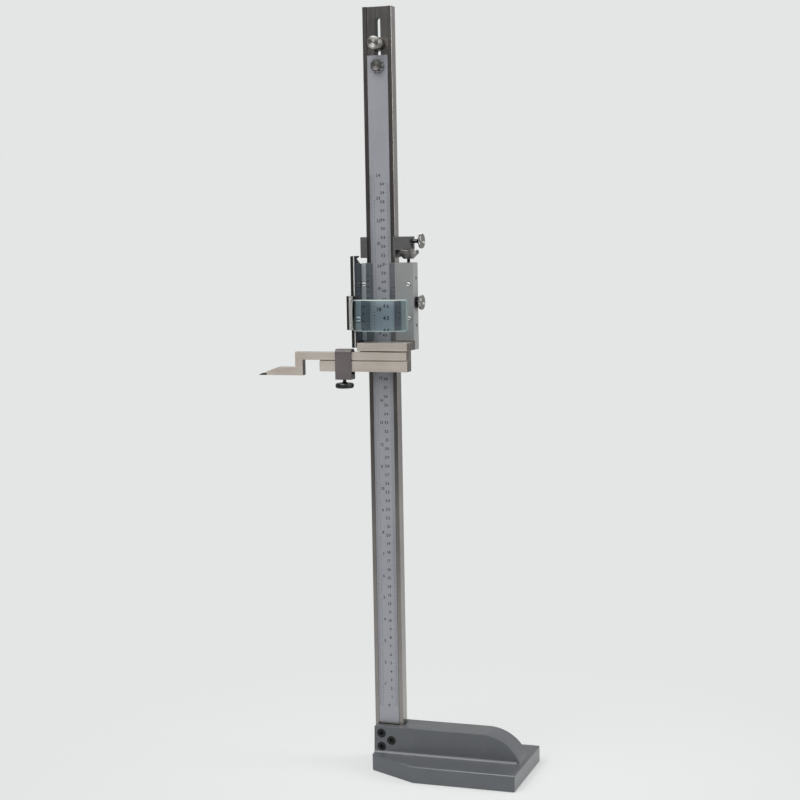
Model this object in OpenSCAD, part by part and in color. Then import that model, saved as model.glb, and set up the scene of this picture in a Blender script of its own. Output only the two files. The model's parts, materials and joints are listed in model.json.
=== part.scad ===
// Vernier height gauge with fine feed, sliding magnifier and adjustable main scale, 0 to 600 mm.
// Origin: underside of the base, below the column's centre.
// X runs along the base, away from the scriber. The scale faces -Y. +Z is up. Sizes are in millimetres.

/* [Base] */
// Distance from the column's centre to the base's left end
base_nose = 15; // [13:0.5:16.5]
// Length of the base
base_len = 178; // [170:1:220]
// Width of the base
base_w = 115; // [90:1:160]
// Thickness of the base plate
plate_t = 19; // [15:0.5:21]
// Width of the base at its left end
nose_w = 52; // [46:1:80]
// Length over which the nose widens to the full width
nose_len = 59; // [40:1:80]
// Thickness of the upright rib
rib_w = 36; // [32:1:36]
// Height of the rib's top
rib_top = 50.5; // [47:0.5:51]
// Length of the rib's straight top
rib_flat = 129; // [90:1:132]
// Radius of the rib's rounded end
rib_end_r = 48.5; // [40:0.5:60]
// Radius of the fillet at the rib's foot
rib_fillet = 4; // [2:0.5:6]
// Width of the broken upper edge of the base plate
edge_break = 1; // [0.5:0.25:2]

/* [Column] */
// Width of the column
col_w = 34; // [32:0.5:36]
// Thickness of the column
col_t = 14; // [12:0.5:16]
// Height of the column's lower end, inside the rib
col_foot = 14; // [10:0.5:18]
// Width of the adjusting slot
slot_w = 7; // [6.5:0.25:9]
// Length of the adjusting slot
slot_len = 72; // [70:1:80]
// Distance from the column's top to the slot
slot_drop = 11.5; // [8:0.5:13]

/* [Column screws] */
// Diameter of the screws that hold the column
seat_screw_d = 6; // [5:0.5:6]
// Diameter of their heads
seat_head_d = 10; // [9:0.5:10.5]
// Height of their heads
seat_head_h = 6; // [5:0.5:6]
// Distance of the screws from the column's centre line
seat_screw_dx = 6; // [5.5:0.25:7]
// Height of the middle screw
seat_screw_z = 34.5; // [33:0.5:35]
// Height of the outer screws above and below the middle one
seat_screw_dz = 7.75; // [7.5:0.25:8]

/* [Main scale] */
// Width of the scale plate
scale_w = 24; // [22:0.5:25]
// Thickness of the scale plate
scale_t = 1.6; // [1.2:0.1:2]
// Height of the scale plate's lower end
scale_foot = 53; // [52:0.5:60]
// Length of the scale plate
scale_len = 762.5; // [690:0.5:860]
// Distance from the scale plate's upper end to its thumb screw
scale_screw_drop = 11.5; // [9:0.5:14]

/* [Scale adjuster] */
// Distance from the column's top to the upper thumb screw
adjuster_drop = 40.5; // [39:0.5:45]
// Distance between the two thumb screws
adjuster_pitch = 24.5; // [24:0.5:28]
// Width of the blocks behind the column
block_w = 17; // [16:0.5:20]
// Thickness of the blocks behind the column
block_t = 10; // [9:0.5:12]
// Height of the blocks behind the column
block_h = 13.5; // [12:0.5:16]
// Diameter of the adjusting stud
stud_d = 4; // [3:0.5:4.5]
// Diameter of the adjusting nut
adjuster_nut_d = 10; // [8:0.5:10.5]
// Thickness of the adjusting nut
adjuster_nut_t = 5; // [4:0.5:6]
// Diameter of the thumb screws' stems
adjuster_stem_d = 6; // [5:0.5:6]
// Diameter of the upper thumb screw's head
adjuster_head_d = 14; // [12:0.5:16]
// Diameter of the lower thumb screw's head
scale_head_d = 15.5; // [12:0.5:16]
// Diameter of the washer under the upper thumb screw
adjuster_washer_d = 11; // [10:0.5:13]
// Distance of the upper thumb screw's end face from the column's front
adjuster_reach = 14; // [12:0.5:20]
// Distance of the lower thumb screw's end face from the column's front
scale_reach = 5; // [5:0.5:20]

/* [Slider] */
// Height of the slider's underside in the photographed pose
slider_z = 486.5; // [400:0.5:490]
// Height of the slider
slider_h = 98; // [95:0.5:105]
// Thickness of the slider's left wall
wall_left = 5.6; // [5.4:0.1:8]
// Thickness of the slider's right wall
wall_right = 21.9; // [21.5:0.1:25]
// Thickness of the slider's back wall
wall_back = 3.5; // [3:0.25:5]
// Bevel on the slider's back right edge
back_bevel = 4; // [2:0.5:5]
// Thickness of the vernier plates
vernier_t = 2.9; // [2:0.1:3.5]
// Height of the vernier plates' lower end above the slider's underside
vernier_rise = 10.6; // [10.4:0.1:12]
// Clear width between the two vernier plates
vernier_window = 20; // [18:0.5:21]
// Width of the graduated bevel on each vernier plate
bevel_w = 7.4; // [6:0.1:7.6]
// Thickness left at the edge of the bevels
bevel_edge = 0.3; // [0.2:0.05:0.5]
// Diameter of the vernier plate screws
face_screw_d = 3; // [2:0.25:3]
// Diameter of their heads
face_head_d = 5.2; // [4:0.1:5.4]
// Distance of the vernier plate screws from the slider's top, upper and lower pair
face_screw_drop = [24, 62];
// Distance of the right plate's screws from the slider's right side
face_screw_inset = 6; // [5:0.5:9]
// Thickness of the gib
gib_t = 2.5; // [2:0.1:3]
// Width of the gib
gib_w = 10; // [8:0.5:11]
// Diameter of the gib's set screws
gib_screw_d = 4; // [3:0.5:4]
// Distance of the gib's set screws from the slider's top
gib_screw_drop = [17.5, 70.5];

/* [Clamp screws] */
// Diameter of the clamp screws' stems
clamp_stem_d = 4.5; // [4:0.5:5]
// Diameter of the clamp screws' heads
clamp_head_d = 16.5; // [14:0.5:18]
// Thickness of the clamp screws' heads
clamp_head_t = 3.6; // [3:0.1:5]
// Distance from the slider's top to its clamp screw
clamp_drop = 44.8; // [42:0.2:47]
// Diameter of the washer on the slider's side
clamp_washer_d = 13; // [10:0.5:14]
// Thickness of the washer on the slider's side
clamp_washer_t = 1.5; // [1:0.25:2]

/* [Measuring jaw] */
// Distance of the jaw's front face from the column's centre
jaw_front = 33; // [32:0.5:36]
// Distance of the jaw's back face from the column's centre, behind the arm's end
jaw_back = 18.3; // [18.3:0.1:19]
// Height of the block that joins the jaw to the slider
jaw_block_h = 9; // [8:0.25:10]
// Height of the jaw's bar
jaw_bar_h = 13.1; // [11:0.1:15]
// Distance of the jaw bar's left end from the column's centre
jaw_left = 67.3; // [62:0.1:70]
// Distance of the jaw bar's right end from the column's centre
jaw_right = 37.8; // [34:0.1:39]
// Height of the relief below the scriber's front edge
relief_h = 1.4; // [0.5:0.1:2]
// Depth of the relief below the scriber's front edge
relief_d = 2.5; // [1:0.25:4]
// Diameter of the screws that hold the jaw
jaw_screw_d = 3; // [2.5:0.25:3]

/* [Scriber] */
// Side of the scriber's square shank
shank = 9; // [8:0.5:10]
// Free height above the shank
shank_gap = 1.3; // [0.5:0.1:2]
// Distance of the scriber's right end from the column's centre
scriber_right = 37; // [34:0.5:40]
// Distance of the scriber's tip from the column's centre
scriber_tip_x = 141.5; // [135:0.5:150]
// Distance of the leg's outer side from the column's centre
scriber_leg_x = 97; // [96:0.5:100]
// Width of the scriber's leg
leg_w = 9.4; // [8:0.1:10]
// Drop of the scriber's underside below its shank
scriber_drop = 18; // [15:0.5:20]
// Height of the scriber's foot
foot_h = 9.4; // [8:0.1:10]
// Length of the scriber's bevel
tip_bevel = 23; // [18:0.5:26]
// Length of the carbide tip
carbide_len = 9.2; // [7:0.1:12]
// Height of the carbide tip
carbide_h = 2.2; // [1.6:0.1:2.8]
// Width of the scriber's edge at its tip
tip_w = 5; // [3:0.5:7]

/* [Scriber clamp] */
// Distance of the clamp's middle from the column's centre
box_x = 37.9; // [37:0.1:40]
// Width of the clamp
box_w = 19.6; // [18:0.2:20.6]
// Thickness of the clamp's front and back walls
box_wall = 1.9; // [1.5:0.1:3]
// Thickness of the clamp's top wall
box_roof = 3.3; // [2.8:0.1:4]
// Thickness of the clamp's lower wall
box_floor = 6; // [5:0.25:8]
// Free height below the jaw inside the clamp
box_gap = 3.1; // [2:0.1:4]
// Bevel along the clamp's upper edges
box_bevel = 2.6; // [1:0.1:2.8]
// Diameter of the clamp screw's stem
box_stem_d = 4; // [3.5:0.5:6]
// Diameter of the clamp screw's knob
box_knob_d = 20.5; // [18:0.5:22]
// Thickness of the clamp screw's knob
box_knob_t = 5.8; // [4:0.1:6.5]
// Free length of the stem between the clamp and the knob
box_stem_free = 4.1; // [3:0.1:6]

/* [Magnifier] */
// Thickness of the lens bracket
rail_t = 4.4; // [3:0.1:4.8]
// Distance of the bracket's front edge from the column's centre
rail_front = 34; // [33.6:0.2:37]
// Height of the bracket's foot above the slider's underside
rail_foot = 3.75; // [3.5:0.25:7]
// Height of the bracket above the slider's top
rail_rise = 8.5; // [6:0.5:12]
// Height of the lens carrier's foot above the slider's underside
carrier_foot = 24; // [23:0.5:40]
// Height of the lens carrier
carrier_h = 38; // [36:0.5:42]
// Depth by which the carrier grips the rail
carrier_grip = 6.5; // [5:0.25:8]
// Thickness of the carrier's walls
carrier_wall = 3.9; // [3:0.1:4.5]
// Thickness of the carrier's inner wall
carrier_lip = 2.8; // [2:0.1:3.5]
// Width of the bright strip
strip_w = 4.1; // [3.5:0.1:5]
// Thickness of the bright strip
strip_t = 2.6; // [2:0.1:3.5]
// Diameter of the strip's screws
strip_screw_d = 2; // [1.5:0.1:2.2]
// Width of the lens
lens_w = 64.8; // [60:0.2:66]
// Height of the lens
lens_h = 35; // [32:0.5:38]
// Distance from the carrier's foot to the lens's lower edge
lens_drop = 1; // [0:0.25:2]
// Radius of the lens's curved face
lens_r = 75; // [60:1:120]
// Thickness of the lens at its corners
lens_edge = 2.4; // [2:0.1:4]
// Radius of the lens's corners
lens_corner = 3; // [2:0.25:5]

/* [Fine feed] */
// Distance from the slider's top to the carriage
feed_gap = 5.8; // [5.6:0.1:7]
// Height of the carriage
carriage_h = 23.5; // [23:0.5:28]
// Distance of the carriage's left side from the column's centre
carriage_left = 23.5; // [22:0.5:26]
// Distance of the carriage's right side from the column's centre
carriage_right = 35; // [34.5:0.5:38]
// Thickness of the carriage in front of the column
carriage_front = 2.9; // [2:0.1:4]
// Thickness of the carriage behind the column
carriage_back = 2.4; // [2:0.1:4]
// Width of the lips that hold the carriage on the column
carriage_lip = 1.6; // [1.2:0.1:4]
// Height of the cut-out for the nut
nut_bay = 8.6; // [8.2:0.1:9.2]
// Distance of the feed screw from the column's centre
feed_x = 30.5; // [30:0.25:31]
// Diameter of the feed screw
feed_d = 4; // [3:0.25:4.5]
// Diameter of the feed nut
nut_d = 23; // [20:0.25:24]
// Thickness of the feed nut's knurled disc
nut_t = 4.4; // [4:0.1:5]
// Height of the cone below the disc
nut_cone_h = 5.2; // [3:0.1:5.6]
// Diameter of the nut's journal
journal_d = 12; // [10:0.25:12]
// Length of the nut's journal
journal_h = 6.1; // [5.5:0.1:6.2]
// Diameter of the brass shoe
shoe_d = 6; // [5.5:0.25:7]
// Length of the brass shoe
shoe_l = 3.5; // [3:0.25:5]
// Distance from the carriage's top to its clamp screw
carriage_clamp_drop = 5.3; // [4.5:0.1:5.6]

/* [Clearances] */
// Gap between flat faces that slide on each other
slide_gap = 0.1; // [0.05:0.01:0.15]
// Radial gap between a screw that turns and its hole
run_gap = 0.05; // [0.03:0.01:0.08]
// Gap around pieces that are fixed in a seat
seat_gap = 0.05; // [0.02:0.01:0.1]

/* [Hidden] */
$fn = 64;

over = 1;                       // how far a cut runs past the face that it opens
small_break = 0.5;              // broken edge on turned pieces
lens_facets = 200;              // keeps the wide curved face smooth

// Base
base_end = base_len - base_nose;
nose_end = nose_len - base_nose;
rib_arc_x = rib_flat - base_nose;
rib_arc_z = rib_top - rib_end_r;
rib_tail = rib_arc_x + sqrt(pow(rib_end_r, 2) - pow(plate_t - rib_arc_z, 2));
outline = [[-base_nose, -nose_w / 2], [nose_end, -base_w / 2], [base_end, -base_w / 2],
  [base_end, base_w / 2], [nose_end, base_w / 2], [-base_nose, nose_w / 2]];

// Column and scale
col_x = col_w / 2;
col_y = col_t / 2;
floor_y = -col_y + scale_t;     // floor of the scale's groove
scale_end = scale_foot + scale_len;
scale_screw_z = scale_end - scale_screw_drop;
adjuster_z = scale_screw_z + adjuster_pitch;
col_top = adjuster_z + adjuster_drop;
slot_top = col_top - slot_drop;

// Column screws
head_rest_y = -col_y - seat_gap - 4;      // face that the screws' heads press on
seat_screw_end = col_y - 4;               // depth of the screws in the column
seat_screws = [[-seat_screw_dx, seat_screw_z + seat_screw_dz], [seat_screw_dx, seat_screw_z],
  [-seat_screw_dx, seat_screw_z - seat_screw_dz]];

// Blocks behind the column
block_left = block_w / 2 - 0.5;
block_y = col_y + slide_gap;
stem_tip_y = col_y + 1;
stud_x = adjuster_stem_d / 2 + 3;
stud_y = block_y + 6.4;
stud_foot = 4;                  // depth of the stud in the scale's block
stud_len = block_h - stud_foot + adjuster_pitch + small_break - (block_h - stud_foot) / 2;
neck_d = 8;
adjuster_head_t = 4.6;
washer_t = 1.5;

// Slider
slide_x = col_x + slide_gap;    // inner faces of the slider and the carriage
slide_y = col_y + slide_gap;
slider_left = slide_x + wall_left;
slider_right = slide_x + wall_right;
slider_back = slide_y + wall_back;
slider_top = slider_z + slider_h;
vernier_front = slide_y + vernier_t;
vernier_h = slider_h - vernier_rise;
face_head_h = 1.2;
face_screw_len = 5;
face_screw_x = [-(slide_x + wall_left / 2), slider_right - face_screw_inset];
gib_x = slide_x;
gib_seat = slide_x + gib_t + 2 * slide_gap;
gib_margin = 3;
clamp_z = slider_top - clamp_drop;
clamp_neck_d = 8.5;
clamp_neck_l = 2.8;
set_screw_sink = 1;

// Jaw and scriber
bar_top = slider_z - shank - shank_gap;
bar_foot = bar_top - jaw_bar_h;
shank_back = jaw_front - shank;
jaw_block_left = slider_left - 1;
jaw_screw_z = slider_z + jaw_block_h / 2;
jaw_screw_x = [-slide_x - wall_left * 2 / 5, slide_x + wall_right / 3, slide_x + wall_right * 3 / 4];
jaw_screw_len = 8;
jaw_head_d = 4.6;
jaw_head_h = 3;
scriber_foot = bar_top - scriber_drop;
edge_t = 0.7;                   // thickness left at the scriber's edge
box_back = shank_back - 2 * slide_gap - box_wall;
box_front = jaw_front + 2 * slide_gap + box_wall;
knob_x = box_x + 0.8;
knob_y = (box_back + box_front) / 2;
knob_neck_d = 8;
knob_neck_l = 1.6;
box_window_top = bar_top + shank + slide_gap;
box_window_foot = bar_foot - box_gap;
box_top = box_window_top + box_roof;
box_foot = box_window_foot - box_floor;

// Magnifier
rail_x = slider_left + rail_t;  // outer face of the bracket
rail_top = slider_top + rail_rise;
rail_z = slider_z + rail_foot;
lip_back = 16;                  // back end of the lip at the bracket's top
lip_t = 1.5;
notch_y = 24;                   // where the notch below the lip ends
shoulder_y = 12;                // where the bracket's back part begins
bracket_back = 3;
bracket_screw_y = -1;
bracket_screw_z = [slider_z + 24, slider_top - 10];
bracket_screw_d = 2.5;
bracket_screw_len = 4;
carrier_z = slider_z + carrier_foot;
carrier_face = rail_front + slide_gap + carrier_wall;
carrier_left = rail_x + slide_gap + carrier_wall;
carrier_inner = slider_left - slide_gap - carrier_lip;
lens_left = rail_x + 0.4 - strip_w;
lens_z = carrier_z - lens_drop;
lens_sag = lens_r - sqrt(pow(lens_r, 2) - pow(lens_w / 2, 2) - pow(lens_h / 2, 2));
strip_screw_inset = 4.5;
strip_head_d = 3.2;
strip_head_h = 0.8;
strip_screw_len = 3;

// Fine feed
carriage_z = slider_top + feed_gap;
carriage_top = carriage_z + carriage_h;
carriage_y = slide_y + carriage_front;
carriage_rear = slide_y + carriage_back;
bay_top = carriage_z + nut_bay;
bay_x = slide_x + 1.2;          // outer face of the wall beside the nut
nut_top = bay_top - 0.5;
nut_foot = nut_top - nut_t;
groove_d = journal_d - 3;
groove_h = 2.4;
groove_z = nut_top + journal_h - groove_h - 1.5;
feed_foot = slider_top - 13.5;
feed_top = bay_top + 1.6;
pin_dog_d = 1.6;
pin_d = 3;
pin_tip = groove_d / 2 + 0.4;
pin_shoulder = journal_d / 2 + 0.5;
carriage_clamp_z = carriage_top - carriage_clamp_drop;
carriage_stem_l = 6.3;           // free length of the stem beside the carriage
carriage_neck_l = 3;

// Cylinder along X from x0 to x1
module rod_x(d, x0, x1) {
  translate([x0, 0, 0]) rotate([0, 90, 0]) cylinder(d = d, h = x1 - x0);
}

// Cylinder along Y from y0 to y1
module rod_y(d, y0, y1) {
  translate([0, y1, 0]) rotate([90, 0, 0]) cylinder(d = d, h = y1 - y0);
}

// Box between two corners
module block(low, high) {
  translate(low) cube(high - low);
}

// Rectangle with rounded corners, its lower left corner at the origin
module rounded_rect(w, h, r) {
  translate([r, 0]) square([w - 2 * r, h]);
  translate([0, r]) square([w, h - 2 * r]);
  for (x = [r, w - r], y = [r, h - r]) translate([x, y]) circle(r);
}

// Thumb screw along +Z: its tip at the origin, a neck that may flare above the stem and a dished head
module thumb_screw(stem_d, stem_l, neck_from, neck_to, neck_l, head_d, head_t) {
  e = small_break;
  head_z = stem_l + neck_l;
  end_z = head_z + head_t;
  dish = head_d * 0.3;
  rotate_extrude() polygon([[0, 0], [stem_d / 2 - e, 0], [stem_d / 2, e], [stem_d / 2, stem_l],
    [neck_from / 2, stem_l], [neck_to / 2, head_z], [head_d / 2 - e, head_z],
    [head_d / 2, head_z + e], [head_d / 2, end_z - e], [head_d / 2 - e, end_z],
    [dish, end_z], [dish - e, end_z - e], [0, end_z - e]]);
}

// Screw along +Z with a plain round head, the head's underside at the origin
module plain_screw(shank_d, shank_l, head_d, head_h) {
  translate([0, 0, -shank_l]) cylinder(d = shank_d, h = shank_l + head_h / 2);
  cylinder(d = head_d, h = head_h);
}

// Socket head screw along +Z, the head's underside at the origin
module socket_screw(shank_d, shank_l, head_d, head_h) {
  difference() {
    plain_screw(shank_d, shank_l, head_d, head_h);
    translate([0, 0, head_h / 2]) cylinder(d = head_d * 0.55, h = head_h, $fn = 6);
  }
}

// Wedge that breaks the upper edge from p to q of an outline drawn anticlockwise
module edge_wedge(p, q, z, c) {
  run = norm(q - p);
  translate([p[0], p[1], z]) rotate([0, 0, atan2(q[1] - p[1], q[0] - p[0])])
    translate([-c, 0, 0]) rotate([90, 0, 90]) linear_extrude(run + 2 * c)
      polygon([[-c, -2 * c], [2 * c, c], [-c, c]]);
}

// Rib's side view, X to the right and Z up
module rib_profile() {
  translate([-base_nose, 0]) square([rib_flat, rib_top]);
  intersection() {
    translate([rib_arc_x, rib_arc_z]) circle(rib_end_r);
    translate([rib_arc_x, 0]) square([min(rib_end_r, base_end - rib_arc_x), rib_top]);
  }
}

// Concave fillet along the rib's foot
module rib_foot_fillet() {
  translate([-base_nose, rib_w / 2, plate_t]) rotate([90, 0, 90])
    linear_extrude(rib_tail + base_nose - rib_fillet) difference() {
      square(rib_fillet);
      translate([rib_fillet, rib_fillet]) circle(rib_fillet);
    }
}

// Base casting with the pocket for the column and the screws' counterbores
module base() {
  pocket_x = col_x + seat_gap;
  pocket_y = col_y + seat_gap;
  color("dimgray") difference() {
    union() {
      linear_extrude(plate_t) polygon(outline);
      translate([0, rib_w / 2, 0]) rotate([90, 0, 0]) linear_extrude(rib_w) rib_profile();
      rib_foot_fillet();
      mirror([0, 1, 0]) rib_foot_fillet();
    }
    for (i = [1 : len(outline) - 1]) edge_wedge(outline[i - 1], outline[i], plate_t, edge_break);
    block([-base_nose - over, -pocket_y, col_foot], [pocket_x, pocket_y, rib_top + over]);
    for (p = seat_screws) translate([p[0], 0, p[1]]) {
      rod_y(seat_head_d + 12 * seat_gap, -rib_w / 2 - over, head_rest_y);
      rod_y(seat_screw_d + 8 * seat_gap, head_rest_y - over, -col_y);
    }
  }
}

// Column with the scale's groove, the adjusting slot and the holes of its screws
module column() {
  color("slategray") difference() {
    block([-col_x, -col_y, col_foot], [col_x, col_y, col_top]);
    block([-scale_w / 2 - 2 * slide_gap, -col_y - over, col_foot - over],
      [scale_w / 2 + 2 * slide_gap, floor_y, col_top + over]);
    translate([0, 0, slot_top - slot_len]) {
      block([-slot_w / 2, -col_t, slot_w / 2], [slot_w / 2, col_t, slot_len - slot_w / 2]);
      for (z = [slot_w / 2, slot_len - slot_w / 2]) translate([0, 0, z]) rod_y(slot_w, -col_t, col_t);
    }
    for (p = seat_screws) translate([p[0], 0, p[1]])
      rod_y(seat_screw_d + 2 * seat_gap, -col_t, seat_screw_end + seat_gap);
  }
}

// Three socket head screws through the rib's front wall
module column_screws() {
  color("black") for (p = seat_screws) translate([p[0], head_rest_y, p[1]]) rotate([90, 0, 0])
    socket_screw(seat_screw_d, seat_screw_end - head_rest_y, seat_head_d, seat_head_h);
}

// Main scale plate, flush with the column's front
module main_scale() {
  color("lightsteelblue") difference() {
    block([-scale_w / 2, -col_y, scale_foot], [scale_w / 2, floor_y, scale_end]);
    translate([0, 0, scale_screw_z]) rod_y(adjuster_stem_d + 2 * run_gap, -col_t, col_t);
  }
}

// Block behind the column with a key in the slot and a blind hole for a thumb screw
module keyed_block() {
  key_x = slot_w / 2 - slide_gap;
  difference() {
    union() {
      block([-block_left, block_y, -block_h / 2], [block_w - block_left, block_y + block_t, block_h / 2]);
      block([-key_x, floor_y + 2 * slide_gap, -block_h / 2], [key_x, block_y + over, block_h / 2]);
    }
    rod_y(adjuster_stem_d + 2 * run_gap, -col_t, stem_tip_y + slide_gap);
  }
}

// Lower block, which carries the scale and the stud
module scale_block() {
  color("gray") translate([0, 0, scale_screw_z]) difference() {
    keyed_block();
    translate([stud_x, stud_y, block_h / 2 - stud_foot]) cylinder(d = stud_d + 2 * seat_gap, h = block_h);
  }
}

// Threaded stud that stands on the lower block
module adjuster_stud() {
  color("darkgray") translate([stud_x, stud_y, scale_screw_z + block_h / 2 - stud_foot])
    cylinder(d = stud_d, h = stud_len);
}

// Upper block with the bay for the adjusting nut
module adjuster_block() {
  bay = adjuster_nut_t / 2 + slide_gap;
  wall = adjuster_nut_d / 2 + 4 * slide_gap;
  color("gray") translate([0, 0, adjuster_z]) difference() {
    keyed_block();
    block([stud_x - wall, stud_y - wall, -bay], [stud_x + block_w, stud_y + block_t, bay]);
    translate([stud_x, stud_y, -block_h]) cylinder(d = stud_d + 8 * run_gap, h = 2 * block_h);
  }
}

// Washer between the upper thumb screw and the column
module adjuster_washer() {
  color("silver") translate([0, 0, adjuster_z]) difference() {
    rod_y(adjuster_washer_d, floor_y - washer_t, floor_y);
    rod_y(adjuster_stem_d + 8 * run_gap, -col_t, col_t);
  }
}

// Knurled nut on the stud
module adjuster_nut() {
  color("dimgray") translate([stud_x, stud_y, adjuster_z - adjuster_nut_t / 2]) difference() {
    cylinder(d = adjuster_nut_d, h = adjuster_nut_t);
    translate([0, 0, -over]) cylinder(d = stud_d + 2 * run_gap, h = adjuster_nut_t + 2 * over);
  }
}

// Thumb screw along -Y, its tip behind the column and its shoulder at rest_y
module front_thumb_screw(z, rest_y, reach, head_d) {
  translate([0, stem_tip_y, z]) rotate([90, 0, 0])
    thumb_screw(adjuster_stem_d, stem_tip_y - rest_y, neck_d, neck_d,
      reach + rest_y + col_y - adjuster_head_t, head_d, adjuster_head_t);
}

// Upper thumb screw
module adjuster_clamp_screw() {
  color("silver") front_thumb_screw(adjuster_z, floor_y - washer_t - run_gap, adjuster_reach, adjuster_head_d);
}

// Lower thumb screw
module scale_clamp_screw() {
  color("darkslategray") front_thumb_screw(scale_screw_z, -col_y - run_gap, scale_reach, scale_head_d);
}

// Channel around the column with the seats of all the slider's screws
module slider_frame() {
  color("darkgray") difference() {
    translate([0, 0, slider_z]) linear_extrude(slider_h) difference() {
      polygon([[-slider_left, -slide_y], [slider_right, -slide_y],
        [slider_right, slider_back - back_bevel], [slider_right - back_bevel, slider_back],
        [-slider_left, slider_back]]);
      translate([-slide_x, -slide_y - over]) square([2 * slide_x, 2 * slide_y + over]);
      translate([0, -gib_w / 2 - slide_gap]) square([gib_seat, gib_w + 2 * slide_gap]);
    }
    translate([0, 0, clamp_z]) rod_x(clamp_stem_d + 2 * run_gap, 0, slider_right + over);
    for (drop = gib_screw_drop) translate([0, 0, slider_top - drop])
      rod_x(gib_screw_d + 2 * seat_gap, 0, slider_right + over);
    translate([feed_x, 0, feed_foot]) cylinder(d = feed_d + 2 * seat_gap, h = slider_h);
    for (x = face_screw_x, drop = face_screw_drop) translate([x, 0, slider_top - drop])
      rod_y(face_screw_d + 2 * seat_gap, -slider_back, -slide_y + face_screw_len + seat_gap);
    for (x = jaw_screw_x) translate([x, 0, jaw_screw_z]) {
      rod_y(jaw_screw_d + 2 * seat_gap, -slider_back, slider_back);
      rod_y(jaw_head_d + 4 * seat_gap, slider_back - jaw_head_h, slider_back + over);
    }
    for (z = bracket_screw_z) translate([0, bracket_screw_y, z])
      rod_x(bracket_screw_d + 2 * seat_gap, -slider_left - over, -slider_left + bracket_screw_len + seat_gap);
  }
}

// Vernier plate on the right: flat face, then a bevel that runs down to the scale
module vernier_plate(outer_x, screw_x) {
  inner = vernier_window / 2;
  difference() {
    translate([0, 0, slider_z + vernier_rise]) linear_extrude(vernier_h)
      polygon([[outer_x, -slide_y], [outer_x, -vernier_front], [inner + bevel_w, -vernier_front],
        [inner, -slide_y - bevel_edge], [inner, -slide_y]]);
    for (drop = face_screw_drop) translate([screw_x, 0, slider_top - drop])
      rod_y(face_screw_d + 2 * seat_gap, -slider_back, 0);
  }
}

// Left vernier plate
module inch_vernier() {
  color("lightslategray") mirror([1, 0, 0]) vernier_plate(slider_left, -face_screw_x[0]);
}

// Right vernier plate
module metric_vernier() {
  color("gray") vernier_plate(slider_right, face_screw_x[1]);
}

// Four screws that hold the vernier plates
module vernier_screws() {
  color("silver") for (x = face_screw_x, drop = face_screw_drop)
    translate([x, -vernier_front, slider_top - drop]) rotate([90, 0, 0])
      plain_screw(face_screw_d, face_screw_len + vernier_t, face_head_d, face_head_h);
}

// Strip between the slider's right wall and the column
module gib() {
  color("goldenrod") block([gib_x, -gib_w / 2, slider_z + gib_margin],
    [gib_x + gib_t, gib_w / 2, slider_top - gib_margin]);
}

// Two set screws that press on the gib
module gib_screws() {
  color("black") for (drop = gib_screw_drop) translate([0, 0, slider_top - drop])
    rod_x(gib_screw_d, gib_x + gib_t, slider_right - set_screw_sink);
}

// Washer on the slider's right side
module slider_clamp_washer() {
  color("black") translate([0, 0, clamp_z]) difference() {
    rod_x(clamp_washer_d, slider_right, slider_right + clamp_washer_t);
    rod_x(clamp_stem_d + 8 * run_gap, slider_right - over, slider_right + 2 * clamp_washer_t);
  }
}

// Thumb screw that locks the slider
module slider_clamp_screw() {
  tip = gib_x + gib_t + run_gap;
  color("silver") translate([tip, 0, clamp_z]) rotate([0, 90, 0])
    thumb_screw(clamp_stem_d, slider_right + clamp_washer_t + run_gap - tip, clamp_neck_d, clamp_neck_d,
      clamp_neck_l, clamp_head_d, clamp_head_t);
}

// Jaw: block in front of the slider, web behind the scriber, bar below it and an arm as deep as the scriber
module measuring_jaw() {
  color("tan") difference() {
    union() {
      block([-jaw_block_left, -jaw_front, slider_z], [jaw_right, -slide_y, slider_z + jaw_block_h]);
      block([-jaw_block_left, -shank_back + slide_gap, bar_top - over], [jaw_right, -jaw_back, slider_z + over]);
      block([-jaw_block_left, -jaw_front, bar_foot], [jaw_right, -jaw_back, bar_top]);
      block([-jaw_left, -jaw_front, bar_foot], [jaw_right, -shank_back, bar_top]);
    }
    block([-jaw_left - over, -jaw_front - over, bar_top - relief_h],
      [jaw_right + over, -jaw_front + relief_d, bar_top + shank_gap]);
    for (x = jaw_screw_x) translate([x, 0, jaw_screw_z])
      rod_y(jaw_screw_d + 2 * seat_gap, -slide_y - jaw_screw_len - seat_gap, 0);
  }
}

// Three screws from the slider's back into the jaw
module jaw_screws() {
  grip = slider_back - jaw_head_h + slide_y;
  color("black") for (x = jaw_screw_x) translate([x, slider_back - jaw_head_h, jaw_screw_z])
    rotate([-90, 0, 0]) socket_screw(jaw_screw_d, grip + jaw_screw_len, jaw_head_d, jaw_head_h);
}

// Upright plate on the slider's left side; its front edge is the lens carrier's rail
module lens_bracket() {
  color("black") difference() {
    translate([-rail_x, 0, 0]) rotate([90, 0, 90]) linear_extrude(rail_t)
      polygon([[-rail_front, rail_z], [-rail_front, rail_top], [-lip_back, rail_top],
        [-lip_back, rail_top - lip_t], [-notch_y, rail_top - 2 * lip_t],
        [-shoulder_y, slider_top - small_break], [bracket_back, slider_top - small_break],
        [bracket_back, rail_z + shoulder_y], [-shoulder_y, rail_z]]);
    for (z = bracket_screw_z) translate([0, bracket_screw_y, z])
      rod_x(bracket_screw_d + 2 * seat_gap, -2 * rail_x, 0);
  }
}

// Two screws that hold the lens bracket
module bracket_screws() {
  color("silver") for (z = bracket_screw_z) translate([-rail_x, bracket_screw_y, z]) rotate([0, -90, 0])
    plain_screw(bracket_screw_d, rail_t + bracket_screw_len, face_head_d, face_head_h);
}

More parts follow.
